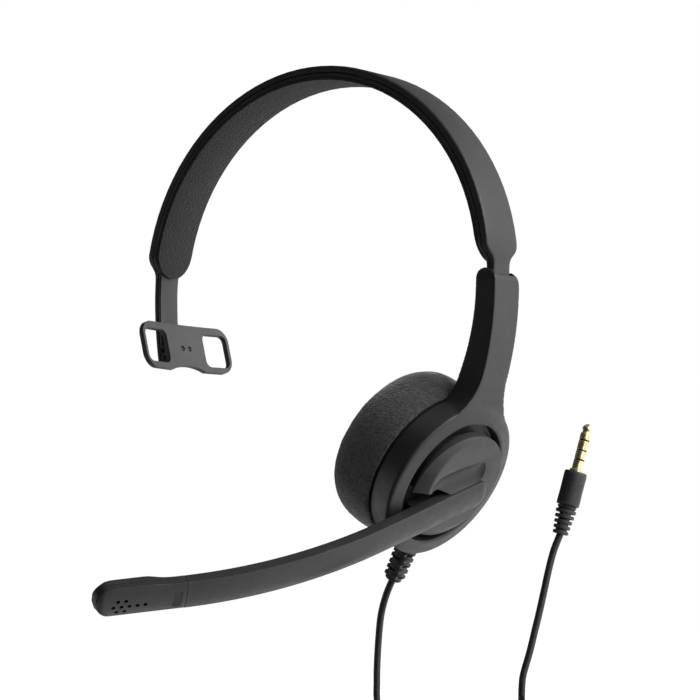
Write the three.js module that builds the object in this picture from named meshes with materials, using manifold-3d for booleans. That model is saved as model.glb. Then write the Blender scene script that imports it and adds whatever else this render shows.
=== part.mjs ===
// A one-ear office headset: an arched headband with a temple rest on one end and, on the other,
// an arm that slides on the band and carries the ear cup, the turning microphone boom and the lead.
// Millimetres, +Z up. The origin is the middle of the head pad's inner face, at the crown.
// +X is the ear-cup side and -Y is the way the wearer looks.

import * as THREE from 'three';
import { mergeVertices } from 'three/addons/utils/BufferGeometryUtils.js';
import Module from 'manifold-3d';

const wasm = await Module();
wasm.setup();

// ---- driving dimensions -------------------------------------------------------------------

const GAP = 0.3;

// Headband: layers are given as depths below the outer face of the arch.
const BAND_RADIUS = 73;
const LEG_RADIUS = 150;
const BAND_DEPTH = 4.9;
const OUTER_LAYER = [0, 2.2];
const SPRING_LAYER = [1.5, 2.2];
const INNER_LAYER = [2.5, 3.7];
const PAD_LAYER = [3.95, BAND_DEPTH];
const STRIP_SINK = 0.65;
const BAND_HALF = 8.8;
const STRIP_HALF = 4.6;
const SPRING_HALF = 2.5;
const ARCH_CENTRE_Z = BAND_DEPTH - BAND_RADIUS;

// Heights where the wide band starts to narrow and where it has become a strip.
const LEFT_NECK = { wide: -54, strip: -61.8 };
const RIGHT_NECK = { wide: -60, strip: -66.8 };
const LEFT_STRIP_END = -91.4;
const RIGHT_STRIP_END = -75.6;
const LEFT_PAD_END = -61.6;
const RIGHT_PAD_END = -66.2;

// The end of the spring band that slides in the arm.
const SLIDE_TILT = THREE.MathUtils.degToRad(7);
const TONGUE_LENGTH = 26;
const NOTCHES = 6;
const NOTCH_PITCH = 3.2;

// Temple rest.
const REST_CENTRE = { x: -61.3, z: -86.2 };
const REST_TILT = THREE.MathUtils.degToRad(14);
const REST_LENGTH = 45.6;
const REST_HEIGHT = 16.6;
const REST_THICKNESS = 1.9;
const REST_CORNER = 5.2;
const REST_BEND_RADIUS = 260;
const REST_SCALLOP = { radius: 22.7, depth: 1.7 };
const REST_WINDOW = { y: 15.6, z: -0.3, half: 6, corner: 2.4 };
const REST_SCREW = { y: 1.75, z: -0.3 };
const HINGE_PIN_RADIUS = 0.65;
const HINGE_EYE_RADIUS = 1.45;
const KNUCKLE_HALF = 4.3;

// Ear cup: heights are along the cup's own axis, 0 at the rim of the outer face, minus to the ear.
const CUP_CENTRE = new THREE.Vector3(51.2, 0, -136.4);
const CUP_TILT = THREE.MathUtils.degToRad(32.7);
const CUP_RADIUS = 27.7;
const CUP_REAR_RADIUS = 25.7;
const CUP_DEPTH = 10;
const OPENING_RADIUS = 22;
const HUB_RADIUS = 6.4;
const DISC_RADIUS = 19.3;
const DISC_SKIRT_RADIUS = 16.8;
const DISC_TOP = 4;
const CUSHION_RADIUS = 27.6;
const CUSHION_FRONT = -30;
const CUSHION_BACK = -12.1;

// Arm.
const ARM_HALF = 7;
const ARM_TOP = { x: 74.3, z: -71.8 };

// Boom: x runs along it from the cup's axis, z is the cup's axis.
const BOOM_DROP = THREE.MathUtils.degToRad(25.5);
const BOOM_FACE = 5.7;
const BOOM_THICKNESS = 4.3;
const BOOM_EDGES = [1.1, 11.9];
const BOOM_STRAIGHT = 30;
const BOOM_BEND_RADIUS = 182;
const BOOM_ROOT_END = 22.4;
const HEAD_START = 104.8;
const HEAD_LENGTH = 29.2;
const HEAD_EDGES = [0.9, 11.8];
const HEAD_SPLIT = 2.6;
const HEAD_WINDOW = [[1.5, 4.1], [5.2, 10.8]];
const HOLES_PLACE = [18.2, 8.5];
const MIC_PLACE = [18.2, 7.6];
const MIC_HOLE_PITCH = 2.55;

// Lead.
const CORD_RADIUS = 1.2;
const SURFACE_Z = -217;
const HANK_CENTRE = new THREE.Vector3(45.7, 15.6, SURFACE_Z + 1);
const HANK_HEADING = THREE.MathUtils.degToRad(37.3);
const HANK_STRAIGHT = 26;
const HANK_OUTER = 12.1;
const HANK_HEIGHT = 7.3;
const PLUG_BASE = new THREE.Vector3(76.6, 26.2, -153.3);
const PLUG_LEAN = THREE.MathUtils.degToRad(14.9);

// ---- materials ----------------------------------------------------------------------------

const look = (color, roughness, metalness = 0) => ({ color, roughness, metalness });
const SATIN_BLACK = look(0x2b2b2d, 0.45);
const SOFT_BLACK = look(0x1d1d1f, 0.8);
const FOAM_BLACK = look(0x242426, 0.95);
const WARM_GREY = look(0x6a6766, 0.6);
const STEEL = look(0xb4b6b8, 0.3, 1);
const GOLD = look(0xd9bf72, 0.25, 1);
const BOARD_GREEN = look(0x2c5a3a, 0.6);
const CORD_BLACK = look(0x23252b, 0.6);

// ---- solids and meshes --------------------------------------------------------------------

function solid(geometry) {
  const bare = geometry.clone();
  bare.deleteAttribute('normal');
  bare.deleteAttribute('uv');
  const merged = mergeVertices(bare, 1e-4);
  return new wasm.Manifold(new wasm.Mesh({
    numProp: 3,
    vertProperties: new Float32Array(merged.attributes.position.array),
    triVerts: new Uint32Array(merged.index.array),
  }));
}

function surface(body) {
  const mesh = body.getMesh();
  const geometry = new THREE.BufferGeometry();
  geometry.setAttribute('position', new THREE.BufferAttribute(mesh.vertProperties, 3));
  geometry.setIndex(new THREE.BufferAttribute(mesh.triVerts, 1));
  const flat = geometry.toNonIndexed();
  flat.computeVertexNormals();
  return flat;
}

function part(name, shape, style) {
  const geometry = shape.isBufferGeometry ? shape : surface(shape);
  const mesh = new THREE.Mesh(geometry, new THREE.MeshStandardMaterial(style));
  mesh.name = name;
  return mesh;
}

const outline = (points) => new THREE.Shape(points.map(([a, b]) => new THREE.Vector2(a, b)));

// A shape drawn in x and z, given a thickness along y.
function alongY(shape, low, high, options = {}) {
  const geometry = new THREE.ExtrudeGeometry(shape, {
    depth: high - low, bevelEnabled: false, curveSegments: 8, ...options,
  });
  geometry.rotateX(Math.PI / 2);
  geometry.translate(0, high, 0);
  return geometry;
}

// A shape drawn in y and z, given a thickness along x.
function alongX(shape, low, high, options = {}) {
  const geometry = new THREE.ExtrudeGeometry(shape, {
    depth: high - low, bevelEnabled: false, curveSegments: 8, ...options,
  });
  geometry.applyMatrix4(new THREE.Matrix4().set(0, 0, 1, low, 1, 0, 0, 0, 0, 1, 0, 0, 0, 0, 0, 1));
  return geometry;
}

// A shape drawn in x and y, given a thickness along z.
function alongZ(shape, low, high, options = {}) {
  const geometry = new THREE.ExtrudeGeometry(shape, {
    depth: high - low, bevelEnabled: false, curveSegments: 8, ...options,
  });
  geometry.translate(0, 0, low);
  return geometry;
}

// A turned piece about z, from its radius and height pairs.
function turned(profile, segments = 40) {
  const points = profile.map(([radius, height]) => new THREE.Vector2(radius, height));
  if (THREE.ShapeUtils.area(points) < 0) points.reverse();
  return new THREE.LatheGeometry(points, segments).rotateX(Math.PI / 2);
}

const rod = (radius, low, high, segments = 20) =>
  turned([[0, low], [radius, low], [radius, high], [0, high]], segments);

function block(x, y, z) {
  const geometry = new THREE.BoxGeometry(x[1] - x[0], y[1] - y[0], z[1] - z[0]);
  geometry.translate((x[0] + x[1]) / 2, (y[0] + y[1]) / 2, (z[0] + z[1]) / 2);
  return geometry;
}

function roundedRectangle(halfWidth, halfHeight, corner) {
  const shape = new THREE.Shape();
  const x = halfWidth - corner;
  const y = halfHeight - corner;
  shape.absarc(x, y, corner, 0, Math.PI / 2);
  shape.absarc(-x, y, corner, Math.PI / 2, Math.PI);
  shape.absarc(-x, -y, corner, Math.PI, 1.5 * Math.PI);
  shape.absarc(x, -y, corner, 1.5 * Math.PI, 2 * Math.PI);
  return shape;
}

// ---- headband -----------------------------------------------------------------------------

// A point on one side of the arch: side is 1 or -1, depth is below the outer face.
function legPoint(side, depth, z) {
  const fall = Math.asin((ARCH_CENTRE_Z - z) / (LEG_RADIUS - depth));
  const x = BAND_RADIUS - LEG_RADIUS + (LEG_RADIUS - depth) * Math.cos(fall);
  return [side * x, z];
}

// How far the outer face has sunk at a height: the strips are thinner than the band.
function sink(side, z) {
  const neck = side < 0 ? LEFT_NECK : RIGHT_NECK;
  return STRIP_SINK * THREE.MathUtils.smoothstep(-z, -neck.wide, -neck.strip);
}

// The line of one depth, from the left strip's end over the crown to the right strip's end.
function archLine(depth, leftEnd, rightEnd) {
  const line = [];
  const legSteps = 6;
  const archSteps = 48;
  const lowered = (side, z) => (depth > 0 ? depth : sink(side, z));
  for (let i = 0; i < legSteps; i += 1) {
    const z = leftEnd + ((ARCH_CENTRE_Z - leftEnd) * i) / legSteps;
    line.push(legPoint(-1, lowered(-1, z), z));
  }
  for (let i = 0; i <= archSteps; i += 1) {
    const angle = Math.PI * (1 - i / archSteps);
    const height = ARCH_CENTRE_Z + BAND_RADIUS * Math.sin(angle);
    const radius = BAND_RADIUS - lowered(Math.cos(angle), height);
    line.push([radius * Math.cos(angle), ARCH_CENTRE_Z + radius * Math.sin(angle)]);
  }
  for (let i = 1; i <= legSteps; i += 1) {
    const z = ARCH_CENTRE_Z + ((rightEnd - ARCH_CENTRE_Z) * i) / legSteps;
    line.push(legPoint(1, lowered(1, z), z));
  }
  return line;
}

// A layer that also runs down the legs.
function longLayer([top, bottom], halfWidth, leftEnd = LEFT_STRIP_END, rightEnd = RIGHT_STRIP_END) {
  const outer = archLine(top, leftEnd, rightEnd);
  const inner = archLine(bottom, leftEnd, rightEnd).reverse();
  return solid(alongY(outline([...outer, ...inner]), -halfWidth, halfWidth));
}

// The plan of one leg seen from the side: wide, then an S-shaped neck, then a narrow strip.
function neckPlan(wide, narrow, neck) {
  const low = -120;
  const high = 20;
  const middle = (neck.wide + neck.strip) / 2;
  const shape = new THREE.Shape();
  shape.moveTo(-wide, high);
  shape.lineTo(-wide, neck.wide);
  shape.bezierCurveTo(-wide, middle, -narrow, middle, -narrow, neck.strip);
  shape.lineTo(-narrow, low);
  shape.lineTo(narrow, low);
  shape.lineTo(narrow, neck.strip);
  shape.bezierCurveTo(narrow, middle, wide, middle, wide, neck.wide);
  shape.lineTo(wide, high);
  shape.closePath();
  return shape;
}

function bandPlan(wide, narrow) {
  const left = solid(alongX(neckPlan(wide, narrow, LEFT_NECK), -90, 0));
  const right = solid(alongX(neckPlan(wide, narrow, RIGHT_NECK), 0, 90));
  return left.add(right);
}

function outerBand() {
  const pocket = longLayer([SPRING_LAYER[0] - GAP, OUTER_LAYER[1] + 1], SPRING_HALF + GAP, -100, -90);
  return longLayer(OUTER_LAYER, BAND_HALF).intersect(bandPlan(BAND_HALF, STRIP_HALF)).subtract(pocket);
}

// The inner band ends in the knuckle that the temple rest turns on.
function innerBand() {
  const trim = GAP / 2;
  const bore = rod(HINGE_PIN_RADIUS + GAP, -8, 8, 16).rotateX(Math.PI / 2);
  return longLayer(INNER_LAYER, BAND_HALF)
    .intersect(bandPlan(BAND_HALF - trim, STRIP_HALF - trim))
    .add(knuckle())
    .subtract(solid(bore.translate(hinge.x, 0, hinge.z)));
}

function padPlan(end) {
  const shape = new THREE.Shape();
  const radius = BAND_HALF;
  shape.moveTo(-radius, 20);
  shape.lineTo(-radius, end + radius);
  shape.absarc(0, end + radius, radius, Math.PI, 2 * Math.PI);
  shape.lineTo(radius, 20);
  shape.closePath();
  return shape;
}

function headPad() {
  const plan = solid(alongX(padPlan(LEFT_PAD_END), -90, 0))
    .add(solid(alongX(padPlan(RIGHT_PAD_END), 0, 90)));
  return longLayer(PAD_LAYER, BAND_HALF).intersect(plan);
}

// The straight end of the spring band, in its own axes: z runs back up the slide.
const tongueStart = legPoint(1, (SPRING_LAYER[0] + SPRING_LAYER[1]) / 2, RIGHT_STRIP_END);
const slideFrame = new THREE.Matrix4()
  .makeRotationY(SLIDE_TILT)
  .setPosition(tongueStart[0], 0, tongueStart[1]);

function springBand() {
  const half = (SPRING_LAYER[1] - SPRING_LAYER[0]) / 2;
  const tongue = block([-half, half], [-SPRING_HALF, SPRING_HALF], [-TONGUE_LENGTH, 0.05]);
  tongue.applyMatrix4(slideFrame);
  let body = longLayer(SPRING_LAYER, SPRING_HALF, LEFT_STRIP_END + 2).add(solid(tongue));
  for (let i = 0; i < NOTCHES; i += 1) {
    for (const side of [-1, 1]) {
      const notch = rod(0.55, -2, 2, 8);
      notch.rotateY(Math.PI / 2);
      notch.translate(0, side * SPRING_HALF, -TONGUE_LENGTH + 6 + i * NOTCH_PITCH);
      body = body.subtract(solid(notch.applyMatrix4(slideFrame)));
    }
  }
  const hole = rod(0.8, -2, 2, 12).rotateY(Math.PI / 2).translate(0, 0, 2 - TONGUE_LENGTH);
  return body.subtract(solid(hole.applyMatrix4(slideFrame)));
}

// A flanged stop riveted through the end of the tongue: it keeps the arm from pulling off.
function tongueStop() {
  const half = (SPRING_LAYER[1] - SPRING_LAYER[0]) / 2 + 0.15;
  const centre = 2 - TONGUE_LENGTH;
  const back = solid(block([-half - 0.8, -half], [-3.6, 3.6], [centre - 1.4, centre + 1.4]));
  const pin = rod(0.5, -half - 0.1, half, 12).rotateY(Math.PI / 2).translate(0, 0, centre);
  return surface(back.add(solid(pin))).applyMatrix4(slideFrame);
}

// ---- temple rest --------------------------------------------------------------------------

// Drawn in its own axes: x is out of the inner face towards the head, y along it, z up.
const restFrame = new THREE.Matrix4()
  .makeRotationY(-REST_TILT)
  .setPosition(REST_CENTRE.x, 0, REST_CENTRE.z);
const HINGE = { x: -5, z: 0 };
const hinge = new THREE.Vector3(HINGE.x, 0, HINGE.z).applyMatrix4(restFrame);
const LUG_SPAN = [KNUCKLE_HALF + 0.4, KNUCKLE_HALF + 2.5];

function restPlate() {
  const half = REST_LENGTH / 2;
  const face = new THREE.Shape();
  const rise = (y) => (y * y) / (2 * REST_BEND_RADIUS);
  const front = [];
  const back = [];
  for (let i = 0; i <= 12; i += 1) {
    const y = -half + (REST_LENGTH * i) / 12;
    front.push([rise(y), y]);
    back.unshift([rise(y) - REST_THICKNESS, y]);
  }
  [...front, ...back].forEach(([x, y], i) => (i ? face.lineTo(x, y) : face.moveTo(x, y)));
  face.closePath();
  let plate = solid(alongZ(face, -REST_HEIGHT / 2, REST_HEIGHT / 2));
  const edge = roundedRectangle(half, REST_HEIGHT / 2, REST_CORNER);
  plate = plate.intersect(solid(alongX(edge, -6, 6)));
  for (const side of [-1, 1]) {
    const window = roundedRectangle(REST_WINDOW.half, REST_WINDOW.half, REST_WINDOW.corner);
    const tool = alongX(window, -8, 8).translate(0, side * REST_WINDOW.y, REST_WINDOW.z);
    plate = plate.subtract(solid(tool));
  }
  const scallop = rod(REST_SCALLOP.radius, -8, 8, 64).rotateY(Math.PI / 2);
  scallop.translate(0, 0, REST_SCALLOP.depth - REST_HEIGHT / 2 - REST_SCALLOP.radius);
  plate = plate.subtract(solid(scallop));
  for (const side of [-1, 1]) {
    const hole = rod(0.95, -6, 2, 14).rotateY(Math.PI / 2);
    plate = plate.subtract(solid(hole.translate(0, side * REST_SCREW.y, REST_SCREW.z)));
  }
  return plate;
}

function restLeaf() {
  const [near, far] = LUG_SPAN;
  const back = -REST_THICKNESS - 0.35;
  let leaf = solid(block([back - 0.6, back], [-far, far], [-3.4, 3.4]));
  for (const side of [-1, 1]) {
    const span = side > 0 ? [near, far] : [-far, -near];
    const lug = block([HINGE.x, back], span, [-HINGE_EYE_RADIUS, HINGE_EYE_RADIUS]);
    const eye = rod(HINGE_EYE_RADIUS, near, far, 18).rotateX(side * -Math.PI / 2);
    leaf = leaf.add(solid(lug)).add(solid(eye.translate(HINGE.x, 0, HINGE.z)));
  }
  for (const side of [-1, 1]) {
    const hole = rod(0.75, -6, 0, 12).rotateY(Math.PI / 2);
    leaf = leaf.subtract(solid(hole.translate(0, side * REST_SCREW.y, REST_SCREW.z)));
  }
  const bore = rod(HINGE_PIN_RADIUS + 0.12, -8, 8, 16).rotateX(Math.PI / 2);
  return leaf.subtract(solid(bore.translate(HINGE.x, 0, HINGE.z)));
}

function restScrew(side) {
  const shank = rod(0.45, -REST_THICKNESS - 0.85, -0.6, 10);
  const screw = solid(rod(0.78, -0.75, -0.1, 14)).add(solid(shank));
  const slot = solid(block([-0.12, 0.12], [-1, 1], [-0.35, 1]));
  const body = surface(screw.subtract(slot));
  return body.rotateY(Math.PI / 2).translate(0, side * REST_SCREW.y, REST_SCREW.z);
}

function restPin() {
  const reach = LUG_SPAN[1] + 0.1;
  const pin = rod(HINGE_PIN_RADIUS, -reach, reach, 16).rotateX(Math.PI / 2);
  return pin.translate(HINGE.x, 0, HINGE.z);
}

// The knuckle on the strip's end, between the two lugs of the rest.
function knuckle() {
  const half = KNUCKLE_HALF;
  const face = legPoint(-1, INNER_LAYER[1] - 0.4, hinge.z)[0];
  const neck = solid(block([face, hinge.x], [-half, half], [hinge.z - 1.3, hinge.z + 1.3]));
  const eye = rod(HINGE_EYE_RADIUS, -half, half, 18).rotateX(Math.PI / 2);
  return neck.add(solid(eye.translate(hinge.x, 0, hinge.z)));
}

// ---- ear cup ------------------------------------------------------------------------------

// The cup's own axes: x to the back of the head, y up in its plane, z outwards.
const cupUp = new THREE.Vector3(Math.sin(CUP_TILT), 0, Math.cos(CUP_TILT));
const cupOut = new THREE.Vector3(Math.cos(CUP_TILT), 0, -Math.sin(CUP_TILT));
const cupFrame = new THREE.Matrix4()
  .makeBasis(new THREE.Vector3(0, 1, 0), cupUp, cupOut)
  .setPosition(CUP_CENTRE);
const inCup = (up, out) => {
  const p = CUP_CENTRE.clone().addScaledVector(cupUp, up).addScaledVector(cupOut, out);
  return new THREE.Vector2(p.x, p.z);
};

// The arm's outer and inner faces, as curves in x and z.
const armOuter = new THREE.CubicBezierCurve(
  new THREE.Vector2(ARM_TOP.x, ARM_TOP.z),
  new THREE.Vector2(ARM_TOP.x, ARM_TOP.z - 20),
  inCup(32, 0),
  inCup(20, -0.1),
);
const armInner = new THREE.CubicBezierCurve(
  new THREE.Vector2(66.6, -70.5),
  new THREE.Vector2(66.6, -88),
  new THREE.Vector2(61.5, -99),
  inCup(24.6, -CUP_DEPTH),
);

// A curve moved sideways, to its left when depth is plus, between two of its fractions.
function beside(curve, depth, from, to, steps = 14) {
  const points = [];
  for (let i = 0; i <= steps; i += 1) {
    const t = from + ((to - from) * i) / steps;
    const p = curve.getPoint(t);
    const d = curve.getTangent(t);
    points.push([p.x - d.y * depth, p.y + d.x * depth]);
  }
  return points;
}

// The cover of the arm's cavity: its ends are fractions of the inner curve.
const COVER_SPAN = [0.1, 0.84];
const COVER_HALF = 5.4;
const COVER_THICKNESS = 1.4;
const COVER_SCREWS = [0.155, 0.79];

function armPlan() {
  const shape = new THREE.Shape();
  const flareTop = -103.5;
  shape.moveTo(-ARM_HALF, flareTop);
  shape.quadraticCurveTo(-ARM_HALF - 0.4, -111.5, -15.5, -117.5);
  shape.lineTo(-15.5, -124);
  shape.lineTo(15.5, -124);
  shape.lineTo(15.5, -117.5);
  shape.quadraticCurveTo(ARM_HALF + 0.4, -111.5, ARM_HALF, flareTop);
  shape.lineTo(ARM_HALF, ARM_TOP.z - 2.4);
  shape.quadraticCurveTo(ARM_HALF - 0.1, ARM_TOP.z + 3.4, ARM_HALF - 5.4, ARM_TOP.z + 4.4);
  shape.lineTo(-ARM_HALF + 3.6, ARM_TOP.z + 4.4);
  shape.quadraticCurveTo(-ARM_HALF, ARM_TOP.z + 3.6, -ARM_HALF, ARM_TOP.z - 0.6);
  shape.closePath();
  return shape;
}

function armSide() {
  const shape = new THREE.Shape();
  const outer = beside(armOuter, 0, 0, 1);
  const inner = beside(armInner, 0, 0, 1).reverse();
  outer.forEach(([x, z], i) => (i ? shape.lineTo(x, z) : shape.moveTo(x, z)));
  inner.forEach(([x, z]) => shape.lineTo(x, z));
  shape.bezierCurveTo(66.6, -68.2, 68.2, -67.4, 69.6, -67.6);
  shape.bezierCurveTo(71.2, -67.9, 74.0, -69.4, ARM_TOP.x, ARM_TOP.z);
  shape.closePath();
  return shape;
}

function cupRing() {
  return solid(turned([
    [HUB_RADIUS + 0.5, -5], [23.4, -5], [23.4, -CUP_DEPTH], [CUP_REAR_RADIUS, -CUP_DEPTH],
    [CUP_RADIUS, -1.1], [CUP_RADIUS - 0.4, -0.2], [CUP_RADIUS - 1.2, 0.15],
    [OPENING_RADIUS + 0.7, 1], [OPENING_RADIUS, 0.6], [OPENING_RADIUS, -3.1],
    [HUB_RADIUS + 0.5, -3.1], [HUB_RADIUS + 0.5, -5],
  ], 52));
}

// What the arm's cavity takes up: the strip's slot, the tongue's slit, the room for its stop and
// the deeper upper part of that room for the detent leaf.
function armCavity() {
  const slot = block([-3.4, 1.6], [-STRIP_HALF - 0.4, STRIP_HALF + 0.4], [-1.4, 12]);
  const slit = block([-0.75, 0.75], [-SPRING_HALF - 0.4, SPRING_HALF + 0.4], [-TONGUE_LENGTH, 0]);
  const room = block([-4.6, 0.85], [-4.2, 4.2], [-TONGUE_LENGTH - 1.2, -3.6]);
  const leafRoom = block([0, 2], [-4.2, 4.2], [-13, -3.6]);
  return solid(slot.applyMatrix4(slideFrame))
    .add(solid(slit.applyMatrix4(slideFrame)))
    .add(solid(room.applyMatrix4(slideFrame)))
    .add(solid(leafRoom.applyMatrix4(slideFrame)));
}

function coverHole(fraction, radius, from, to) {
  const p = armInner.getPoint(fraction);
  const d = armInner.getTangent(fraction);
  const hole = rod(radius, from, to, 14).rotateY(Math.PI / 2);
  hole.rotateY(Math.atan2(d.x, -d.y));
  return hole.translate(p.x, 0, p.y);
}

function armHousing() {
  const arm = solid(alongY(armSide(), -20, 20)).intersect(solid(alongX(armPlan(), 30, 90)));
  const coverRoom = solid(alongY(outline([
    ...beside(armInner, -3, COVER_SPAN[0], COVER_SPAN[1]),
    ...beside(armInner, COVER_THICKNESS + GAP, COVER_SPAN[0], COVER_SPAN[1]).reverse(),
  ]), -COVER_HALF - GAP, COVER_HALF + GAP));
  const well = solid(turned([[0, -CUP_DEPTH - 3], [23.4, -CUP_DEPTH - 3], [23.4, -5], [0, -5]], 52)
    .applyMatrix4(cupFrame));
  const mouth = solid(turned([[0, -3.1], [OPENING_RADIUS, -3.1], [OPENING_RADIUS, 4], [0, 4]], 52)
    .applyMatrix4(cupFrame));
  const leadHole = rod(2.25, 0, 12, 20).applyMatrix4(reliefFrame).applyMatrix4(cupFrame);
  let body = arm.subtract(mouth).subtract(well).subtract(coverRoom).subtract(armCavity());
  body = body.add(solid(surface(cupRing()).applyMatrix4(cupFrame)));
  for (const fraction of COVER_SCREWS) body = body.subtract(solid(coverHole(fraction, 0.6, -1, 3.2)));
  return body.subtract(solid(leadHole));
}

function armCover() {
  const [top, bottom] = [COVER_SPAN[0] + 0.006, COVER_SPAN[1] - 0.006];
  let cover = solid(alongY(outline([
    ...beside(armInner, 0, top, bottom),
    ...beside(armInner, COVER_THICKNESS, top, bottom).reverse(),
  ]), -COVER_HALF, COVER_HALF));
  for (const fraction of COVER_SCREWS) {
    cover = cover.subtract(solid(coverHole(fraction, 1.25, -1, 0.7)));
    cover = cover.subtract(solid(coverHole(fraction, 0.75, -1, 3)));
  }
  return cover;
}

function coverScrew(fraction) {
  const head = solid(coverHole(fraction, 0.95, 0.1, 0.42));
  return surface(head.add(solid(coverHole(fraction, 0.32, 0.3, 2.9))));
}

// A leaf spring behind the tongue that clicks along its notches.
function detentLeaf() {
  const shape = outline([
    [1.7, -4], [1.35, -4], [1.35, -5.4], [0.65, -7.6], [0.65, -8.4], [1.35, -10.6],
    [1.35, -12], [1.7, -12], [1.7, -10.4], [1, -8.2], [1, -7.8], [1.7, -5.6],
  ]);
  return alongY(shape, -1.6, 1.6).applyMatrix4(slideFrame);
}

function speakerPlate() {
  let plate = solid(turned([
    [0, -16.2], [19.6, -16.2], [19.6, -11.7], [25.9, -11.7], [25.9, -10.3], [18.3, -10.3],
    [18.3, -15.1], [0, -15.1],
  ], 32));
  for (let i = 0; i < 7; i += 1) {
    const angle = (i * Math.PI) / 3;
    const reach = i === 6 ? 0 : 7;
    const hole = rod(1.7, -18, -14, 8).translate(reach * Math.cos(angle), reach * Math.sin(angle), 0);
    plate = plate.subtract(solid(hole));
  }
  return plate;
}

const speakerFrame = () => turned([
  [9.3, -9.6], [9.3, -10.6], [15.5, -13.2], [15.5, -14.5], [17.9, -14.5], [17.9, -12.2], [10.6, -9.6],
  [9.3, -9.6],
], 24);

const speakerCone = () => turned([
  [0, -13.6], [4.4, -13.6], [4.4, -13.0], [5, -13.0], [9.5, -14.05], [15.2, -14.05], [15.2, -14.3],
  [9.3, -14.3], [4.8, -13.3], [4.4, -13.9], [0, -13.9],
], 24);

const speakerMagnet = () => turned([
  [0, -8.8], [9, -8.8], [9, -12.4], [5.3, -12.4], [5.3, -10.2], [0, -10.2],
], 24);

const speakerCloth = () => rod(17.8, -17, -16.5, 24);

// A foam disc with a spigot into the cup, a flat front face and a shallow hollow in its middle.
function earCushion() {
  const spigot = CUSHION_BACK - 5.2;
  const profile = [[0, spigot], [20, spigot], [20, CUSHION_BACK], [25.2, CUSHION_BACK]];
  const corner = 7;
  for (let i = 0; i <= 5; i += 1) {
    const angle = (Math.PI / 2) * (i / 5);
    profile.push([
      CUSHION_RADIUS - corner + corner * Math.cos(angle),
      CUSHION_FRONT + corner - corner * Math.sin(angle),
    ]);
  }
  profile.push([14, CUSHION_FRONT], [9, CUSHION_FRONT + 2.8], [0, CUSHION_FRONT + 3.4]);
  return turned(profile, 36);
}

const terminalBoard = () => block([-6, 6], [-20.4, -13], [-7, -6]);

// ---- strain relief ------------------------------------------------------------------------

// Its own axes: z runs out of the cup's rim, down and a little back.
const RELIEF_TILT = THREE.MathUtils.degToRad(6);
const RELIEF_FOOT = 6.9;
const RELIEF_RIBS = 6;
const RELIEF_PITCH = 2.2;
const RELIEF_END = RELIEF_FOOT + (RELIEF_RIBS - 0.32) * RELIEF_PITCH;
const RELIEF_HEIGHT = -6.3;
const reliefFrame = new THREE.Matrix4()
  .makeRotationZ(RELIEF_TILT)
  .multiply(new THREE.Matrix4().makeRotationX(Math.PI / 2))
  .setPosition(3.9, -21.5, RELIEF_HEIGHT);

// A ribbed sleeve with a neck through the rim and a flange inside it, flat where it meets the web.
function strainRelief() {
  const profile = [[0, -0.3], [3.1, -0.3], [3.1, 0.6], [1.95, 0.6], [1.95, RELIEF_FOOT]];
  for (let i = 0; i < RELIEF_RIBS; i += 1) {
    const radius = 3.25 - 0.09 * i;
    const foot = RELIEF_FOOT + i * RELIEF_PITCH;
    const top = foot + RELIEF_PITCH * 0.68;
    profile.push([radius, foot], [radius, top], [radius - 0.8, top]);
    if (i < RELIEF_RIBS - 1) profile.push([radius - 0.8, foot + RELIEF_PITCH]);
  }
  profile.push([0, RELIEF_END]);
  const sleeve = solid(turned(profile, 14));
  return sleeve.subtract(solid(block([-4, 4], [1, 5], [-1, 1])));
}

// ---- boom ---------------------------------------------------------------------------------

// A point on the boom: along is measured on its outer face, under is below that face.
function boomPoint(along, under) {
  if (along <= BOOM_STRAIGHT) return [along, BOOM_FACE - under];
  const turn = (along - BOOM_STRAIGHT) / BOOM_BEND_RADIUS;
  const radius = BOOM_BEND_RADIUS - under;
  return [
    BOOM_STRAIGHT + radius * Math.sin(turn),
    BOOM_FACE - BOOM_BEND_RADIUS + radius * Math.cos(turn),
  ];
}

// A stretch of the boom as a plate: depths are below its outer face, edges are across it.
function boomPlate(from, to, top, bottom, edges, bevel = 0, steps = 10) {
  const outer = [];
  const inner = [];
  for (let i = 0; i <= steps; i += 1) {
    const along = from + bevel + ((to - from - 2 * bevel) * i) / steps;
    outer.push(boomPoint(along, top + bevel));
    inner.unshift(boomPoint(along, bottom - bevel));
  }
  const options = bevel
    ? { bevelEnabled: true, bevelThickness: bevel, bevelSize: bevel, bevelSegments: 2 }
    : {};
  return alongY(outline([...outer, ...inner]), edges[0] + bevel, edges[1] - bevel, options);
}

// The disc that turns in the cup, with the boom's root moulded on it.
function boomDisc() {
  const disc = solid(turned([
    [0, -6.4], [HUB_RADIUS, -6.4], [HUB_RADIUS, -2.7], [DISC_SKIRT_RADIUS, -2.7],
    [DISC_SKIRT_RADIUS, 0.2], [DISC_RADIUS, 0.6], [DISC_RADIUS, 2.4], [15.8, DISC_TOP], [0, DISC_TOP],
  ], 44));
  const middle = (BOOM_EDGES[0] + BOOM_EDGES[1]) / 2;
  const half = (BOOM_EDGES[1] - BOOM_EDGES[0]) / 2;
  const plan = new THREE.Shape();
  plan.absarc(-13.1 + half, middle, half - 0.8, Math.PI / 2, 1.5 * Math.PI);
  plan.lineTo(BOOM_ROOT_END - 0.8, BOOM_EDGES[0] + 0.8);
  plan.lineTo(BOOM_ROOT_END - 0.8, BOOM_EDGES[1] - 0.8);
  plan.closePath();
  const root = solid(alongZ(plan, BOOM_FACE - BOOM_THICKNESS + 0.8, BOOM_FACE - 0.8, {
    bevelEnabled: true, bevelThickness: 0.8, bevelSize: 0.8, bevelSegments: 2, curveSegments: 10,
  }));
  const scoop = turned([[0, -12], [5.2, 16], [0, 16]], 28).rotateY(Math.PI / 2).translate(0, -2.6, 6);
  const screwHole = solid(rod(0.8, -7, -2, 12));
  return disc.subtract(solid(scoop)).add(root).subtract(screwHole);
}

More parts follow.
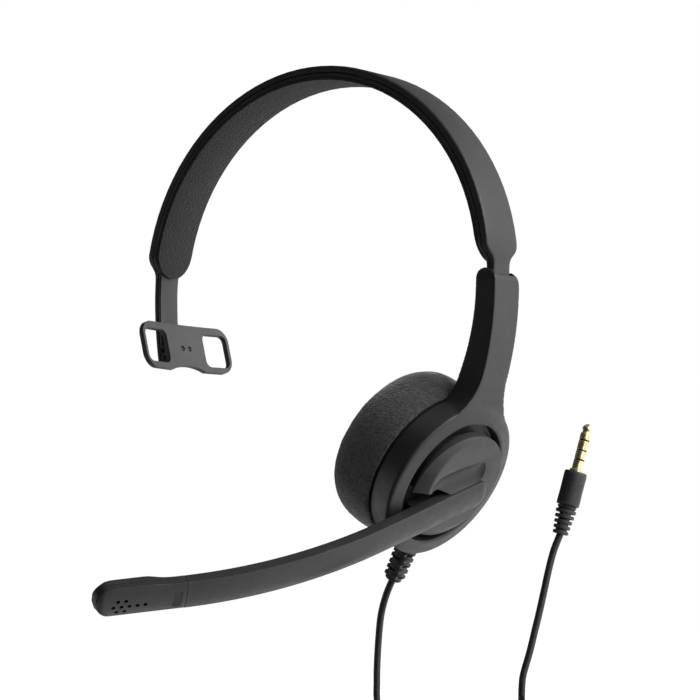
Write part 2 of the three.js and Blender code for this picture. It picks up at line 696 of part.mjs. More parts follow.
const boomWasher = () => turned([
  [2, -7.3], [9.6, -7.3], [9.6, -6.75], [2, -6.75], [2, -7.3],
], 30);

function boomScrew() {
  const head = solid(rod(2.6, -8.5, -7.6, 20)).add(solid(rod(0.55, -7.7, -3, 12)));
  const cross = solid(block([-1.6, 1.6], [-0.3, 0.3], [-9, -8.1]))
    .add(solid(block([-0.3, 0.3], [-1.6, 1.6], [-9, -8.1])));
  return head.subtract(cross);
}

function boomBeam() {
  const [from, to] = [BOOM_ROOT_END + GAP, HEAD_START - GAP];
  const shell = boomPlate(from, to, 0, BOOM_THICKNESS, BOOM_EDGES, 0.9, 12);
  const bore = boomPlate(from - 2, to + 2, 1.3, BOOM_THICKNESS - 1.3, [5, 8], 0, 12);
  return solid(shell).subtract(solid(bore));
}

// ---- microphone head ----------------------------------------------------------------------

// Drawn in its own axes: x runs to the tip, y across it and z out of its outer face.
const headTurn = (HEAD_START - BOOM_STRAIGHT) / BOOM_BEND_RADIUS;
const headFoot = boomPoint(HEAD_START, 0);
const headFrame = new THREE.Matrix4()
  .makeRotationY(headTurn)
  .setPosition(headFoot[0], 0, headFoot[1]);

function headPlan(inset) {
  const low = HEAD_EDGES[0] + inset;
  const high = HEAD_EDGES[1] - inset;
  const from = inset;
  const to = HEAD_LENGTH - inset;
  const shape = new THREE.Shape();
  shape.moveTo(from, BOOM_EDGES[0] + inset);
  shape.bezierCurveTo(from + 6, BOOM_EDGES[0] + inset, from + 7, low, from + 11, low);
  shape.lineTo(to - 7, low);
  shape.quadraticCurveTo(to, low, to, low + 6);
  shape.lineTo(to - 2, high - 1.6);
  shape.quadraticCurveTo(to - 2.6, high, to - 5, high);
  shape.lineTo(from + 9, high);
  shape.lineTo(from, BOOM_EDGES[1] - inset);
  shape.closePath();
  return shape;
}

const flatHead = (inset, low, high) =>
  solid(alongZ(headPlan(inset), low, high, { curveSegments: 6 }));

// The front half: a row of five sound holes with a pair on each side of it, and a window.
function headFront() {
  const rowStep = MIC_HOLE_PITCH * 0.87;
  const places = [];
  for (let i = -2; i < 3; i += 1) places.push([HOLES_PLACE[0] - i * MIC_HOLE_PITCH, HOLES_PLACE[1]]);
  for (const side of [-1, 1]) {
    for (const step of [0.5, 1.5]) {
      places.push([HOLES_PLACE[0] + step * MIC_HOLE_PITCH, HOLES_PLACE[1] + side * rowStep]);
    }
  }
  let front = flatHead(0, -HEAD_SPLIT, 0).subtract(flatHead(1, -HEAD_SPLIT - 1, -1));
  for (const [x, y] of places) {
    front = front.subtract(solid(rod(0.5, -1.6, 1, 10).translate(x, y, 0)));
  }
  const [x, y] = HEAD_WINDOW;
  const opening = block([x[0] - GAP, x[1] + GAP], [y[0] - GAP, y[1] + GAP], [-4, 1]);
  return front.subtract(solid(opening));
}

// The back half, with three sound slots behind the microphone.
function headBack() {
  const hollow = flatHead(1, -BOOM_THICKNESS + 0.9, 0);
  let back = flatHead(0, -BOOM_THICKNESS, -HEAD_SPLIT - GAP).subtract(hollow);
  for (let i = -1; i < 2; i += 1) {
    const y = MIC_PLACE[1] + i * 1.6;
    const slot = block([MIC_PLACE[0] - 2, MIC_PLACE[0] + 2], [y - 0.4, y + 0.4], [-6, 0]);
    back = back.subtract(solid(slot));
  }
  return back;
}

const headWindow = () => block(...HEAD_WINDOW, [-0.9, -0.15]);

const micCapsule = () => rod(2, -2.85, -1.55, 20).translate(...MIC_PLACE, 0);

const micBoot = () => turned([
  [2.3, -3.05], [3.1, -3.05], [3.1, -1.35], [2.3, -1.35], [2.3, -3.05],
], 24).translate(...MIC_PLACE, 0);

// ---- lead ---------------------------------------------------------------------------------

// A free stretch of the lead through its points.
function lead(points, steps) {
  const sides = 8;
  const section = new THREE.Shape();
  for (let i = 0; i < sides; i += 1) {
    const angle = (2 * Math.PI * (i + 0.5)) / sides;
    const method = i ? 'lineTo' : 'moveTo';
    section[method](CORD_RADIUS * Math.cos(angle), CORD_RADIUS * Math.sin(angle));
  }
  section.closePath();
  const stops = points.map((p) => new THREE.Vector3(...p));
  const extrudePath = new THREE.CatmullRomCurve3(stops, false, 'centripetal');
  return new THREE.ExtrudeGeometry(section, { steps, extrudePath, bevelEnabled: false });
}

// From the strain relief down to the hank's lowest layer.
const LEAD_DOWN = [
  [23.8, 5.87, -167.5], [22.8, 6, -169.1], [21.4, 6.15, -171.6], [19.9, 6.35, -174.9], [18.5, 6.5, -179.3],
  [17.6, 6.65, -185], [17, 6.75, -191], [16.6, 6.8, -197], [16.5, 6.85, -202], [16.5, 6.85, -206.8],
  [17.35, 7.5, -210.8], [19.7, 9.3, -213.7], [22.8, 11.65, -214.8],
];

// From the hank's top layer up to the plug.
const LEAD_UP = [
  [65.35, 20.15, -207.35], [66.3, 18.95, -204.7], [66.65, 18.6, -202], [67.35, 19.15, -197.8],
  [68.6, 20.1, -191.4], [69.9, 21.1, -184.8], [71.2, 22.1, -178.2], [72.5, 23.1, -171],
  [73.7, 24, -164.3], [75, 25, -158.3], [76.5, 26.15, -153.6],
];

const hankFrame = new THREE.Matrix4().makeRotationZ(HANK_HEADING).setPosition(HANK_CENTRE);

function leadHank() {
  const shape = new THREE.Shape();
  const half = HANK_STRAIGHT / 2;
  shape.absarc(half, 0, HANK_OUTER, -Math.PI / 2, Math.PI / 2);
  shape.absarc(-half, 0, HANK_OUTER, Math.PI / 2, 1.5 * Math.PI);
  shape.closePath();
  return alongZ(shape, 0, HANK_HEIGHT, { curveSegments: 10 });
}

function leadTie() {
  const outer = roundedRectangle(HANK_OUTER + 1.05, HANK_HEIGHT / 2 + 1, 1.4);
  const inner = roundedRectangle(HANK_OUTER + GAP, HANK_HEIGHT / 2 + GAP, 0.7);
  const few = { curveSegments: 4 };
  return solid(alongX(outer, -4, 4, few)).subtract(solid(alongX(inner, -5, 5, few)));
}

// ---- plug ---------------------------------------------------------------------------------

// Its own axes: z runs from the lead to the tip, which leans sideways in the hank's direction.
const plugFrame = new THREE.Matrix4()
  .makeRotationZ(HANK_HEADING)
  .multiply(new THREE.Matrix4().makeRotationY(PLUG_LEAN))
  .setPosition(PLUG_BASE);
const PIN_RADIUS = 1.75;
const SHOULDER = 21.2;
const PIN_PLACES = { sleeve: [20.9, 25.1], ring2: [25.5, 28.25], ring1: [28.65, 31.7], tip: [32.1, 37.4] };

function plugBoot() {
  const profile = [[0, 0.3]];
  const ribs = 5;
  const pitch = 1.75;
  for (let i = 0; i < ribs; i += 1) {
    const radius = 2.6 + 0.2 * i;
    const foot = 0.3 + i * pitch;
    profile.push([radius, foot], [radius, foot + 1.1]);
    profile.push([radius - 0.75, foot + 1.1], [radius - 0.75, foot + pitch]);
  }
  profile.push([2.6, 0.3 + ribs * pitch], [2.6, 9.5], [0, 9.5]);
  return turned(profile, 16);
}

const plugBody = () => turned([
  [0, 9.8], [3.3, 9.8], [3.75, 10.3], [3.75, 20.6], [3.55, SHOULDER], [2.7, SHOULDER], [2.7, SHOULDER - 0.9],
  [0, SHOULDER - 0.9],
], 24);

// The metal pieces are rings on a common core, each ending in a thin dark spacer.
function plugSleeve() {
  return turned([
    [0, 20.6], [2.3, 20.6], [2.3, 22], [PIN_RADIUS, 22], [PIN_RADIUS, PIN_PLACES.sleeve[1]],
    [0.95, PIN_PLACES.sleeve[1]], [0.95, 24], [0, 24],
  ], 18);
}

const plugRing = ([low, high]) => turned([
  [0.95, low], [PIN_RADIUS, low], [PIN_RADIUS, high], [0.95, high], [0.95, low],
], 18);

const plugSpacer = (low, high) => turned([
  [0.95, low + 0.05], [PIN_RADIUS - 0.06, low + 0.05], [PIN_RADIUS - 0.06, high - 0.05], [0.95, high - 0.05],
  [0.95, low + 0.05],
], 18);

function plugTip() {
  const [low, high] = PIN_PLACES.tip;
  return turned([
    [0, 24.3], [0.65, 24.3], [0.65, low], [PIN_RADIUS, low], [PIN_RADIUS - 0.03, high - 3.1],
    [PIN_RADIUS - 0.5, high - 2.6], [PIN_RADIUS - 0.05, high - 1.7], [0.5, high - 0.1], [0, high],
  ], 18);
}

// ---- assembly -----------------------------------------------------------------------------

function framed(matrix, ...meshes) {
  const group = new THREE.Group();
  matrix.decompose(group.position, group.quaternion, group.scale);
  group.add(...meshes);
  return group;
}

const headband = new THREE.Group();
headband.add(
  part('outer_band', outerBand(), SATIN_BLACK),
  part('spring_band', springBand(), STEEL),
  part('inner_band', innerBand(), SATIN_BLACK),
  part('head_pad', headPad(), SOFT_BLACK),
  part('tongue_stop', tongueStop(), STEEL),
);

const templeRest = framed(
  restFrame,
  part('rest_plate', restPlate(), WARM_GREY),
  part('rest_leaf', restLeaf(), SATIN_BLACK),
  part('rest_pin', restPin(), STEEL),
  part('rest_screw_front', restScrew(-1), STEEL),
  part('rest_screw_rear', restScrew(1), STEEL),
);

const arm = new THREE.Group();
arm.add(
  part('arm_housing', armHousing(), SATIN_BLACK),
  part('arm_cover', armCover(), SATIN_BLACK),
  part('arm_cover_screw_upper', coverScrew(COVER_SCREWS[0]), STEEL),
  part('arm_cover_screw_lower', coverScrew(COVER_SCREWS[1]), STEEL),
  part('detent_leaf', detentLeaf(), STEEL),
);

const boom = framed(
  new THREE.Matrix4().makeRotationZ(Math.PI + BOOM_DROP),
  part('boom_disc', boomDisc(), SATIN_BLACK),
  part('boom_washer', boomWasher(), STEEL),
  part('boom_screw', boomScrew(), STEEL),
  part('boom_beam', boomBeam(), SATIN_BLACK),
  framed(
    headFrame,
    part('mic_head_front', headFront(), SATIN_BLACK),
    part('mic_head_back', headBack(), SATIN_BLACK),
    part('mic_window', headWindow(), WARM_GREY),
    part('mic_capsule', micCapsule(), STEEL),
    part('mic_boot', micBoot(), SOFT_BLACK),
  ),
);

const relief = framed(reliefFrame, part('strain_relief', strainRelief(), SOFT_BLACK));

const cup = framed(
  cupFrame,
  boom,
  relief,
  part('speaker_plate', speakerPlate(), SATIN_BLACK),
  part('speaker_frame', speakerFrame(), SATIN_BLACK),
  part('speaker_cone', speakerCone(), WARM_GREY),
  part('speaker_magnet', speakerMagnet(), STEEL),
  part('speaker_cloth', speakerCloth(), SOFT_BLACK),
  part('ear_cushion', earCushion(), FOAM_BLACK),
  part('terminal_board', terminalBoard(), BOARD_GREEN),
);

const plug = framed(
  plugFrame,
  part('plug_boot', plugBoot(), SOFT_BLACK),
  part('plug_body', plugBody(), SOFT_BLACK),
  part('plug_sleeve', plugSleeve(), GOLD),
  part('plug_ring_2', plugRing(PIN_PLACES.ring2), GOLD),
  part('plug_ring_1', plugRing(PIN_PLACES.ring1), GOLD),
  part('plug_tip', plugTip(), GOLD),
  part('plug_spacer_3', plugSpacer(PIN_PLACES.sleeve[1], PIN_PLACES.ring2[0]), SOFT_BLACK),
  part('plug_spacer_2', plugSpacer(PIN_PLACES.ring2[1], PIN_PLACES.ring1[0]), SOFT_BLACK),
  part('plug_spacer_1', plugSpacer(PIN_PLACES.ring1[1], PIN_PLACES.tip[0]), SOFT_BLACK),
);

const cord = new THREE.Group();
cord.add(
  part('lead_down', lead(LEAD_DOWN, 20), CORD_BLACK),
  part('lead_up', lead(LEAD_UP, 20), CORD_BLACK),
  framed(hankFrame, part('lead_hank', leadHank(), CORD_BLACK)),
  framed(
    hankFrame.clone().multiply(new THREE.Matrix4().makeTranslation(0, 0, HANK_HEIGHT / 2)),
    part('lead_tie', leadTie(), SOFT_BLACK),
  ),
);

const headset = new THREE.Group();
headset.add(headband, templeRest, arm, cup, cord, plug);

export default headset;
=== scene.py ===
import math

import bmesh
import bpy
from mathutils import Matrix, Vector, noise


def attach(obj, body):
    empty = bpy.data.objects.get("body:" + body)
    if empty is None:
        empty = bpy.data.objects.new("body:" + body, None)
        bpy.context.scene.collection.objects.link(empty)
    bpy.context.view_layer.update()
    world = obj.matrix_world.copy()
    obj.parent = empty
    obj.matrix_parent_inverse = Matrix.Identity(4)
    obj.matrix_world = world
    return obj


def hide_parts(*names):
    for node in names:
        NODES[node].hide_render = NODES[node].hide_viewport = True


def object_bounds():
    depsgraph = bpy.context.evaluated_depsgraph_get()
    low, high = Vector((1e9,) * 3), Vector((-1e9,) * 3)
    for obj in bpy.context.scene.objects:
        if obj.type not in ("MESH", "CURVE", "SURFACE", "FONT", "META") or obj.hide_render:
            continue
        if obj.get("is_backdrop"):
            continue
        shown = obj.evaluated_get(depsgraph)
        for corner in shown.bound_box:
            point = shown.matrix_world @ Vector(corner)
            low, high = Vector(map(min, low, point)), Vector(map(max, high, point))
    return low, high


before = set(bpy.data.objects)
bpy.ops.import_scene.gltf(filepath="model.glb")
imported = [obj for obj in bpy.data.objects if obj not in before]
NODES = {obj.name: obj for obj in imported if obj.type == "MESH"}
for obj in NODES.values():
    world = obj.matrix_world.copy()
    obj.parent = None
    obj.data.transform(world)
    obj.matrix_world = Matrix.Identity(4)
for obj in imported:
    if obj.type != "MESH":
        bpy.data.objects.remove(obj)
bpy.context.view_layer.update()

# A one-ear office headset. Lengths are in millimetres until a piece is finished, then in metres.
MM = 0.001
SURFACE_Z = -217.0

# ---- camera -------------------------------------------------------------------------------

camera_data = bpy.data.cameras.new("camera")
camera_data.lens = 154.3
camera_data.sensor_width = 36
camera = bpy.data.objects.new("camera", camera_data)
bpy.context.scene.collection.objects.link(camera)
camera.location = (0.61584, -0.79459, -0.18367)
look = Vector((0.002217, 0.010908, -0.089737)) - camera.location
camera.rotation_euler = look.to_track_quat("-Z", "Y").to_euler()
bpy.context.scene.camera = camera

# ---- places -------------------------------------------------------------------------------

CUP_TILT = math.radians(32.7)
BOOM_DROP = math.radians(25.5)
CORD_HEADING = math.radians(37.3)
CUP_CENTRE = Vector((51.2, 0, -136.4))
CUP_UP = Vector((math.sin(CUP_TILT), 0, math.cos(CUP_TILT)))
CUP_OUT = Vector((math.cos(CUP_TILT), 0, -math.sin(CUP_TILT)))


def axes(x, y, z, origin):
    """The matrix that takes its own x, y and z to these directions at this origin."""
    turn = Matrix((x, y, z)).transposed().to_4x4()
    return Matrix.Translation(origin) @ turn


CUP = axes(Vector((0, 1, 0)), CUP_UP, CUP_OUT, CUP_CENTRE)
BOOM = CUP @ Matrix.Rotation(math.pi + BOOM_DROP, 4, "Z")
RELIEF = (CUP @ Matrix.Translation((3.9, -21.5, -6.3)) @ Matrix.Rotation(math.radians(6), 4, "Z")
          @ Matrix.Rotation(math.pi / 2, 4, "X"))
HANK = Matrix.Translation((45.7, 15.6, SURFACE_Z + 1)) @ Matrix.Rotation(CORD_HEADING, 4, "Z")
PLUG = (Matrix.Translation((76.6, 26.2, -153.3)) @ Matrix.Rotation(CORD_HEADING, 4, "Z")
        @ Matrix.Rotation(math.radians(14.9), 4, "Y"))
REST = Matrix.Translation((-61.3, 0, -86.2)) @ Matrix.Rotation(math.radians(-14), 4, "Y")

# ---- making and finishing -----------------------------------------------------------------


def rest_hands():
    """Nothing selected and nothing being edited."""
    if bpy.context.object and bpy.context.object.mode != "OBJECT":
        bpy.ops.object.mode_set(mode="OBJECT")
    bpy.ops.object.select_all(action="DESELECT")


def take(obj):
    rest_hands()
    obj.select_set(True)
    bpy.context.view_layer.objects.active = obj
    return obj


def edit(obj, kind="VERT"):
    take(obj)
    bpy.ops.object.mode_set(mode="EDIT")
    bpy.ops.mesh.select_mode(type=kind)


def choose(obj, parts, test):
    """Selects the vertices, edges or faces of the piece being edited that pass a test."""
    bpy.ops.mesh.select_all(action="DESELECT")
    body = bmesh.from_edit_mesh(obj.data)
    body.normal_update()
    for item in getattr(body, parts):
        if test(item):
            item.select_set(True)
    body.select_flush_mode()
    bmesh.update_edit_mesh(obj.data)


def middle(item):
    points = [v.co for v in item.verts]
    return sum(points, Vector()) / len(points)


def sharp(edge, degrees):
    return len(edge.link_faces) == 2 and edge.calc_face_angle(0) > math.radians(degrees)


def outward(obj):
    edit(obj)
    bpy.ops.mesh.select_all(action="SELECT")
    bpy.ops.mesh.remove_doubles(threshold=0.0005)
    bpy.ops.mesh.normals_make_consistent(inside=False)
    rest_hands()


def modify(obj, kind, **settings):
    """Adds a modifier with these settings and applies it."""
    take(obj)
    modifier = obj.modifiers.new(kind.lower(), kind)
    for key, value in settings.items():
        setattr(modifier, key, value)
    bpy.ops.object.modifier_apply(modifier=modifier.name)
    return obj


def soften(obj, width, segments=3, degrees=35):
    return modify(obj, "BEVEL", width=width, segments=segments, limit_method="ANGLE",
                  angle_limit=math.radians(degrees), use_clamp_overlap=True)


def cut(obj, *tools):
    for tool in tools:
        modify(obj, "BOOLEAN", operation="DIFFERENCE", solver="EXACT", object=tool)
        bpy.data.objects.remove(tool)
    return obj


def join_in(obj, *others):
    for other in others:
        modify(obj, "BOOLEAN", operation="UNION", solver="EXACT", object=other)
        bpy.data.objects.remove(other)
    return obj


def turned(name, profile, steps=64):
    """A turned piece about z, from radius and height pairs that start and end near the axis."""
    rest_hands()
    first_radius, height = profile[0]
    bpy.ops.mesh.primitive_circle_add(vertices=steps, radius=first_radius, fill_type="NGON",
                                      location=(0, 0, height))
    obj = bpy.context.object
    obj.name = name
    bpy.ops.object.transform_apply(location=True, rotation=True, scale=True)
    edit(obj)
    bpy.ops.mesh.select_all(action="SELECT")
    radius = first_radius
    for next_radius, next_height in profile[1:]:
        bpy.ops.mesh.extrude_region_move(
            TRANSFORM_OT_translate={"value": (0, 0, next_height - height)})
        ratio = next_radius / radius
        if abs(ratio - 1) > 1e-6:
            bpy.ops.transform.resize(value=(ratio, ratio, 1), center_override=(0, 0, next_height))
        radius, height = next_radius, next_height
    outward(obj)
    return obj


def shifted(obj, x, y):
    obj.data.transform(Matrix.Translation((x, y, 0)))
    return obj


def rod(radius, low, high, x=0, y=0, steps=24):
    return shifted(turned("rod", [(radius, low), (radius, high)], steps), x, y)


def slab(name, outline, low, high):
    """A flat shape in x and y, from one height to another."""
    rest_hands()
    bpy.ops.mesh.primitive_circle_add(vertices=len(outline), radius=1, fill_type="NGON")
    obj = bpy.context.object
    obj.name = name
    for vertex, (x, y) in zip(obj.data.vertices, outline):
        vertex.co = (x, y, low)
    edit(obj)
    bpy.ops.mesh.select_all(action="SELECT")
    bpy.ops.mesh.extrude_region_move(TRANSFORM_OT_translate={"value": (0, 0, high - low)})
    outward(obj)
    return obj


def from_frame(node, name, place=None):
    """A piece that starts as a merged copy of a CAD node, in millimetres, in a place's own axes."""
    obj = bpy.data.objects.new(name, NODES[node].data.copy())
    bpy.context.scene.collection.objects.link(obj)
    obj.data.materials.clear()
    obj.data.transform(Matrix.Scale(1 / MM, 4))
    if place is not None:
        obj.data.transform(place.inverted())
    edit(obj)
    bpy.ops.mesh.select_all(action="SELECT")
    bpy.ops.mesh.remove_doubles(threshold=0.001)
    bpy.ops.mesh.dissolve_limited(angle_limit=math.radians(0.5))
    rest_hands()
    return obj


def filleted(corners, steps=4):
    """Points round an outline whose corners, given as x, y and radius, are rounded off."""
    points = []
    for i, (x, y, radius) in enumerate(corners):
        here = Vector((x, y))
        before = Vector(corners[i - 1][:2]) - here
        after = Vector(corners[(i + 1) % len(corners)][:2]) - here
        reach = radius / math.tan(before.angle(after) / 2)
        start = here + before.normalized() * min(reach, 0.45 * before.length)
        end = here + after.normalized() * min(reach, 0.45 * after.length)
        for j in range(steps + 1):
            t = j / steps
            points.append(start * (1 - t) ** 2 + here * 2 * t * (1 - t) + end * t * t)
    return points


def lofted(name, sections):
    """A solid through a row of closed sections, each with the same number of points."""
    rest_hands()
    bpy.ops.mesh.primitive_circle_add(vertices=len(sections[0]), radius=1, fill_type="NGON")
    obj = bpy.context.object
    obj.name = name
    for vertex, point in zip(obj.data.vertices, sections[0]):
        vertex.co = point
    edit(obj)
    bpy.ops.mesh.select_all(action="SELECT")
    for before, after in zip(sections, sections[1:]):
        bpy.ops.mesh.extrude_region_move()
        body = bmesh.from_edit_mesh(obj.data)
        for vertex in body.verts:
            if vertex.select:
                nearest = min(range(len(before)), key=lambda k: (before[k] - vertex.co).length_squared)
                vertex.co = after[nearest]
        bmesh.update_edit_mesh(obj.data)
    outward(obj)
    return obj


def rounded_box(width, height, corner, steps=4):
    """Points round a rectangle with round corners, centred."""
    points = []
    for cx, cy, start in ((1, 1, 0), (-1, 1, 90), (-1, -1, 180), (1, -1, 270)):
        for i in range(steps + 1):
            angle = math.radians(start + 90 * i / steps)
            points.append((cx * (width / 2 - corner) + corner * math.cos(angle),
                           cy * (height / 2 - corner) + corner * math.sin(angle)))
    return points


def finished(obj, body, slot, material, *nodes, place=None, degrees=35):
    """Puts a piece in the row frame in metres, gives it its finish and hangs it on its body."""
    if place is not None:
        obj.data.transform(place)
    obj.data.transform(Matrix.Scale(MM, 4))
    take(obj)
    bpy.ops.object.shade_smooth_by_angle(angle=math.radians(degrees), keep_sharp_edges=False)
    obj.data.materials.clear()
    obj.data.materials.append(material)
    rest_hands()
    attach(obj, body)
    if nodes:
        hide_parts(*nodes)
    return obj


# ---- finishes -----------------------------------------------------------------------------


def finish_nodes(name, roughness, specular=0.5, metallic=0.0):
    material = bpy.data.materials.new(name)
    material.use_nodes = True
    tree = material.node_tree
    shader = tree.nodes["Principled BSDF"]
    shader.inputs["Roughness"].default_value = roughness
    shader.inputs["Metallic"].default_value = metallic
    shader.inputs["Specular IOR Level"].default_value = specular
    place = tree.nodes.new("ShaderNodeTexCoord")
    return material, tree, shader, place.outputs["Object"]


def speckle(tree, place, scale, detail=3.0, roughness=0.6):
    node = tree.nodes.new("ShaderNodeTexNoise")
    node.inputs["Scale"].default_value = scale
    node.inputs["Detail"].default_value = detail
    node.inputs["Roughness"].default_value = roughness
    tree.links.new(place, node.inputs["Vector"])
    return node.outputs["Fac"]


def between(tree, value, low, high, to_low, to_high):
    node = tree.nodes.new("ShaderNodeMapRange")
    for key, number in zip(("From Min", "From Max", "To Min", "To Max"), (low, high, to_low, to_high)):
        node.inputs[key].default_value = number
    tree.links.new(value, node.inputs["Value"])
    return node.outputs["Result"]


def tinted(tree, value, *stops):
    node = tree.nodes.new("ShaderNodeValToRGB")
    ramp = node.color_ramp
    while len(ramp.elements) < len(stops):
        ramp.elements.new(0.5)
    for element, (position, colour) in zip(ramp.elements, stops):
        element.position = position
        element.color = (*colour, 1)
    tree.links.new(value, node.inputs["Fac"])
    return node.outputs["Color"]


def mixed(tree, factor, first, second):
    """Goes from a colour to a plain one by a varying factor."""
    node = tree.nodes.new("ShaderNodeMix")
    node.data_type = "RGBA"
    tree.links.new(factor, node.inputs["Factor"])
    tree.links.new(first, node.inputs["A"])
    node.inputs["B"].default_value = (*second, 1)
    return node.outputs["Result"]


def blended(tree, share, first, second):
    """Two varying colours in fixed shares."""
    node = tree.nodes.new("ShaderNodeMix")
    node.data_type = "RGBA"
    node.inputs["Factor"].default_value = share
    tree.links.new(first, node.inputs["A"])
    tree.links.new(second, node.inputs["B"])
    return node.outputs["Result"]


def cells_of(tree, place, scale, feature="F1"):
    node = tree.nodes.new("ShaderNodeTexVoronoi")
    node.feature = feature
    node.inputs["Scale"].default_value = scale
    tree.links.new(place, node.inputs["Vector"])
    return node.outputs["Distance"]


def relief_of(tree, shader, layers):
    """Stacks bumps of (height, distance in metres, strength), the coarsest first."""
    under = None
    for height, distance, strength in layers:
        node = tree.nodes.new("ShaderNodeBump")
        node.inputs["Distance"].default_value = distance
        node.inputs["Strength"].default_value = strength
        tree.links.new(height, node.inputs["Height"])
        if under is not None:
            tree.links.new(under, node.inputs["Normal"])
        under = node.outputs["Normal"]
    tree.links.new(under, shader.inputs["Normal"])


WEAR_FROM, WEAR_FULL, WEAR_SHARE = 0.53, 0.6, 0.5


def edge_wear(tree, colour, worn):
    """Rubs a lighter tone along the edges."""
    geometry = tree.nodes.new("ShaderNodeNewGeometry")
    factor = between(tree, geometry.outputs["Pointiness"], WEAR_FROM, WEAR_FULL, 0, WEAR_SHARE)
    return mixed(tree, factor, colour, worn)


def moulded(name, dark, light, worn, roughness, grain=2600, depth=0.00002):
    """Moulded plastic: a fine eroded grain, clouded tone and gloss, and lighter edges."""
    material, tree, shader, place = finish_nodes(name, roughness)
    cloud = speckle(tree, place, 55, 4)
    fine = speckle(tree, place, grain, 2, 0.5)
    handled = speckle(tree, place, 320, 4, 0.7)
    colour = tinted(tree, cloud, (0.3, dark), (0.7, light))
    colour = edge_wear(tree, colour, worn)
    tree.links.new(colour, shader.inputs["Base Color"])
    tree.links.new(between(tree, handled, 0.35, 0.7, roughness - 0.06, roughness + 0.07),
                   shader.inputs["Roughness"])
    relief_of(tree, shader, [(handled, 0.00002, 0.15), (fine, depth, 0.6)])
    return material


def metal(name, dark, light, roughness, grain=900, stretch=(1, 1, 12)):
    material, tree, shader, place = finish_nodes(name, roughness, 0.5, 1.0)
    mapping = tree.nodes.new("ShaderNodeMapping")
    mapping.inputs["Scale"].default_value = stretch
    tree.links.new(place, mapping.inputs["Vector"])
    brushed = speckle(tree, mapping.outputs["Vector"], grain, 4)
    cloud = speckle(tree, place, 240, 3)
    colour = tinted(tree, cloud, (0.35, dark), (0.7, light))
    tree.links.new(colour, shader.inputs["Base Color"])
    tree.links.new(between(tree, brushed, 0.3, 0.7, roughness - 0.05, roughness + 0.1),
                   shader.inputs["Roughness"])
    relief_of(tree, shader, [(brushed, 0.000006, 0.35)])
    return material


def foam():
    """Open-cell foam: pits between struts, with a soft fuzz that catches light at the rim."""
    material, tree, shader, place = finish_nodes("foam", 0.95, 0.25)
    cells = cells_of(tree, place, 1150)
    pits = speckle(tree, place, 1500, 3, 0.75)
    patches = speckle(tree, place, 420, 3, 0.6)
    colour = tinted(tree, pits, (0.36, (0.014, 0.014, 0.014)), (0.66, (0.15, 0.15, 0.151)))
    shade = tinted(tree, patches, (0.35, (0.04, 0.04, 0.0405)), (0.7, (0.085, 0.085, 0.086)))
    tree.links.new(blended(tree, 0.5, colour, shade), shader.inputs["Base Color"])
    shader.inputs["Sheen Weight"].default_value = 0.85
    shader.inputs["Sheen Roughness"].default_value = 0.45
    relief_of(tree, shader, [(cells, 0.00035, 0.5), (pits, 0.0003, 0.7)])
    return material


def leatherette():
    """The head pad's skin: pebbled grain over a soft base."""
    material, tree, shader, place = finish_nodes("leatherette", 0.62, 0.25)
    pebble = cells_of(tree, place, 1500, "SMOOTH_F1")
    fine = speckle(tree, place, 1900, 4, 0.75)
    cloud = speckle(tree, place, 90, 4)
    colour = tinted(tree, fine, (0.33, (0.006, 0.006, 0.0063)), (0.68, (0.024, 0.024, 0.025)))
    tone = tinted(tree, cloud, (0.3, (0.009, 0.009, 0.0093)), (0.7, (0.016, 0.016, 0.0165)))
    tree.links.new(blended(tree, 0.4, colour, tone), shader.inputs["Base Color"])
    tree.links.new(between(tree, fine, 0.3, 0.7, 0.52, 0.74), shader.inputs["Roughness"])
    shader.inputs["Sheen Weight"].default_value = 0.12
    relief_of(tree, shader, [(pebble, 0.0004, 0.8), (fine, 0.0002, 0.8)])
    return material


def rubber(name, dark, light, roughness, grain=1700, sheen=0.05):
    material, tree, shader, place = finish_nodes(name, roughness, 0.45)
    fine = speckle(tree, place, grain, 3, 0.6)
    cloud = speckle(tree, place, 130, 3)
    colour = tinted(tree, cloud, (0.3, dark), (0.7, light))
    dust = between(tree, fine, 0.45, 0.75, 0, 0.35)
    colour = mixed(tree, dust, colour, tuple(3 * part for part in light))
    colour = edge_wear(tree, colour, tuple(2.2 * part for part in light))
    tree.links.new(colour, shader.inputs["Base Color"])
    tree.links.new(between(tree, fine, 0.3, 0.7, roughness - 0.08, roughness + 0.08),
                   shader.inputs["Roughness"])
    shader.inputs["Sheen Weight"].default_value = sheen
    relief_of(tree, shader, [(cloud, 0.00006, 0.2), (fine, 0.00004, 0.6)])
    return material


def woven(name, dark, light, pitch):
    """Thin cloth: crossing threads over the ear's side of the speaker."""
    material, tree, shader, place = finish_nodes(name, 0.85, 0.2)
    threads = []
    for direction in ("X", "Y"):
        wave = tree.nodes.new("ShaderNodeTexWave")
        wave.bands_direction = direction
        wave.inputs["Scale"].default_value = 1 / pitch
        tree.links.new(place, wave.inputs["Vector"])
        threads.append(wave.outputs["Fac"])
    crossing = tree.nodes.new("ShaderNodeMath")
    crossing.operation = "MULTIPLY"
    tree.links.new(threads[0], crossing.inputs[0])
    tree.links.new(threads[1], crossing.inputs[1])
    tree.links.new(tinted(tree, crossing.outputs[0], (0.1, dark), (0.8, light)),
                   shader.inputs["Base Color"])
    relief_of(tree, shader, [(crossing.outputs[0], 0.0001, 0.8)])
    return material


def circuit_board():
    """A lacquered board, with lighter green where its tracks run."""
    material, tree, shader, place = finish_nodes("circuit_board", 0.35)
    tracks = tree.nodes.new("ShaderNodeTexBrick")
    tracks.inputs["Scale"].default_value = 500
    tree.links.new(place, tracks.inputs["Vector"])
    grain = speckle(tree, place, 900, 3)
    colour = tinted(tree, tracks.outputs["Fac"], (0.2, (0.02, 0.09, 0.04)), (0.8, (0.05, 0.17, 0.07)))
    tree.links.new(colour, shader.inputs["Base Color"])
    relief_of(tree, shader, [(tracks.outputs["Fac"], 0.00005, 0.5), (grain, 0.00002, 0.3)])
    return material


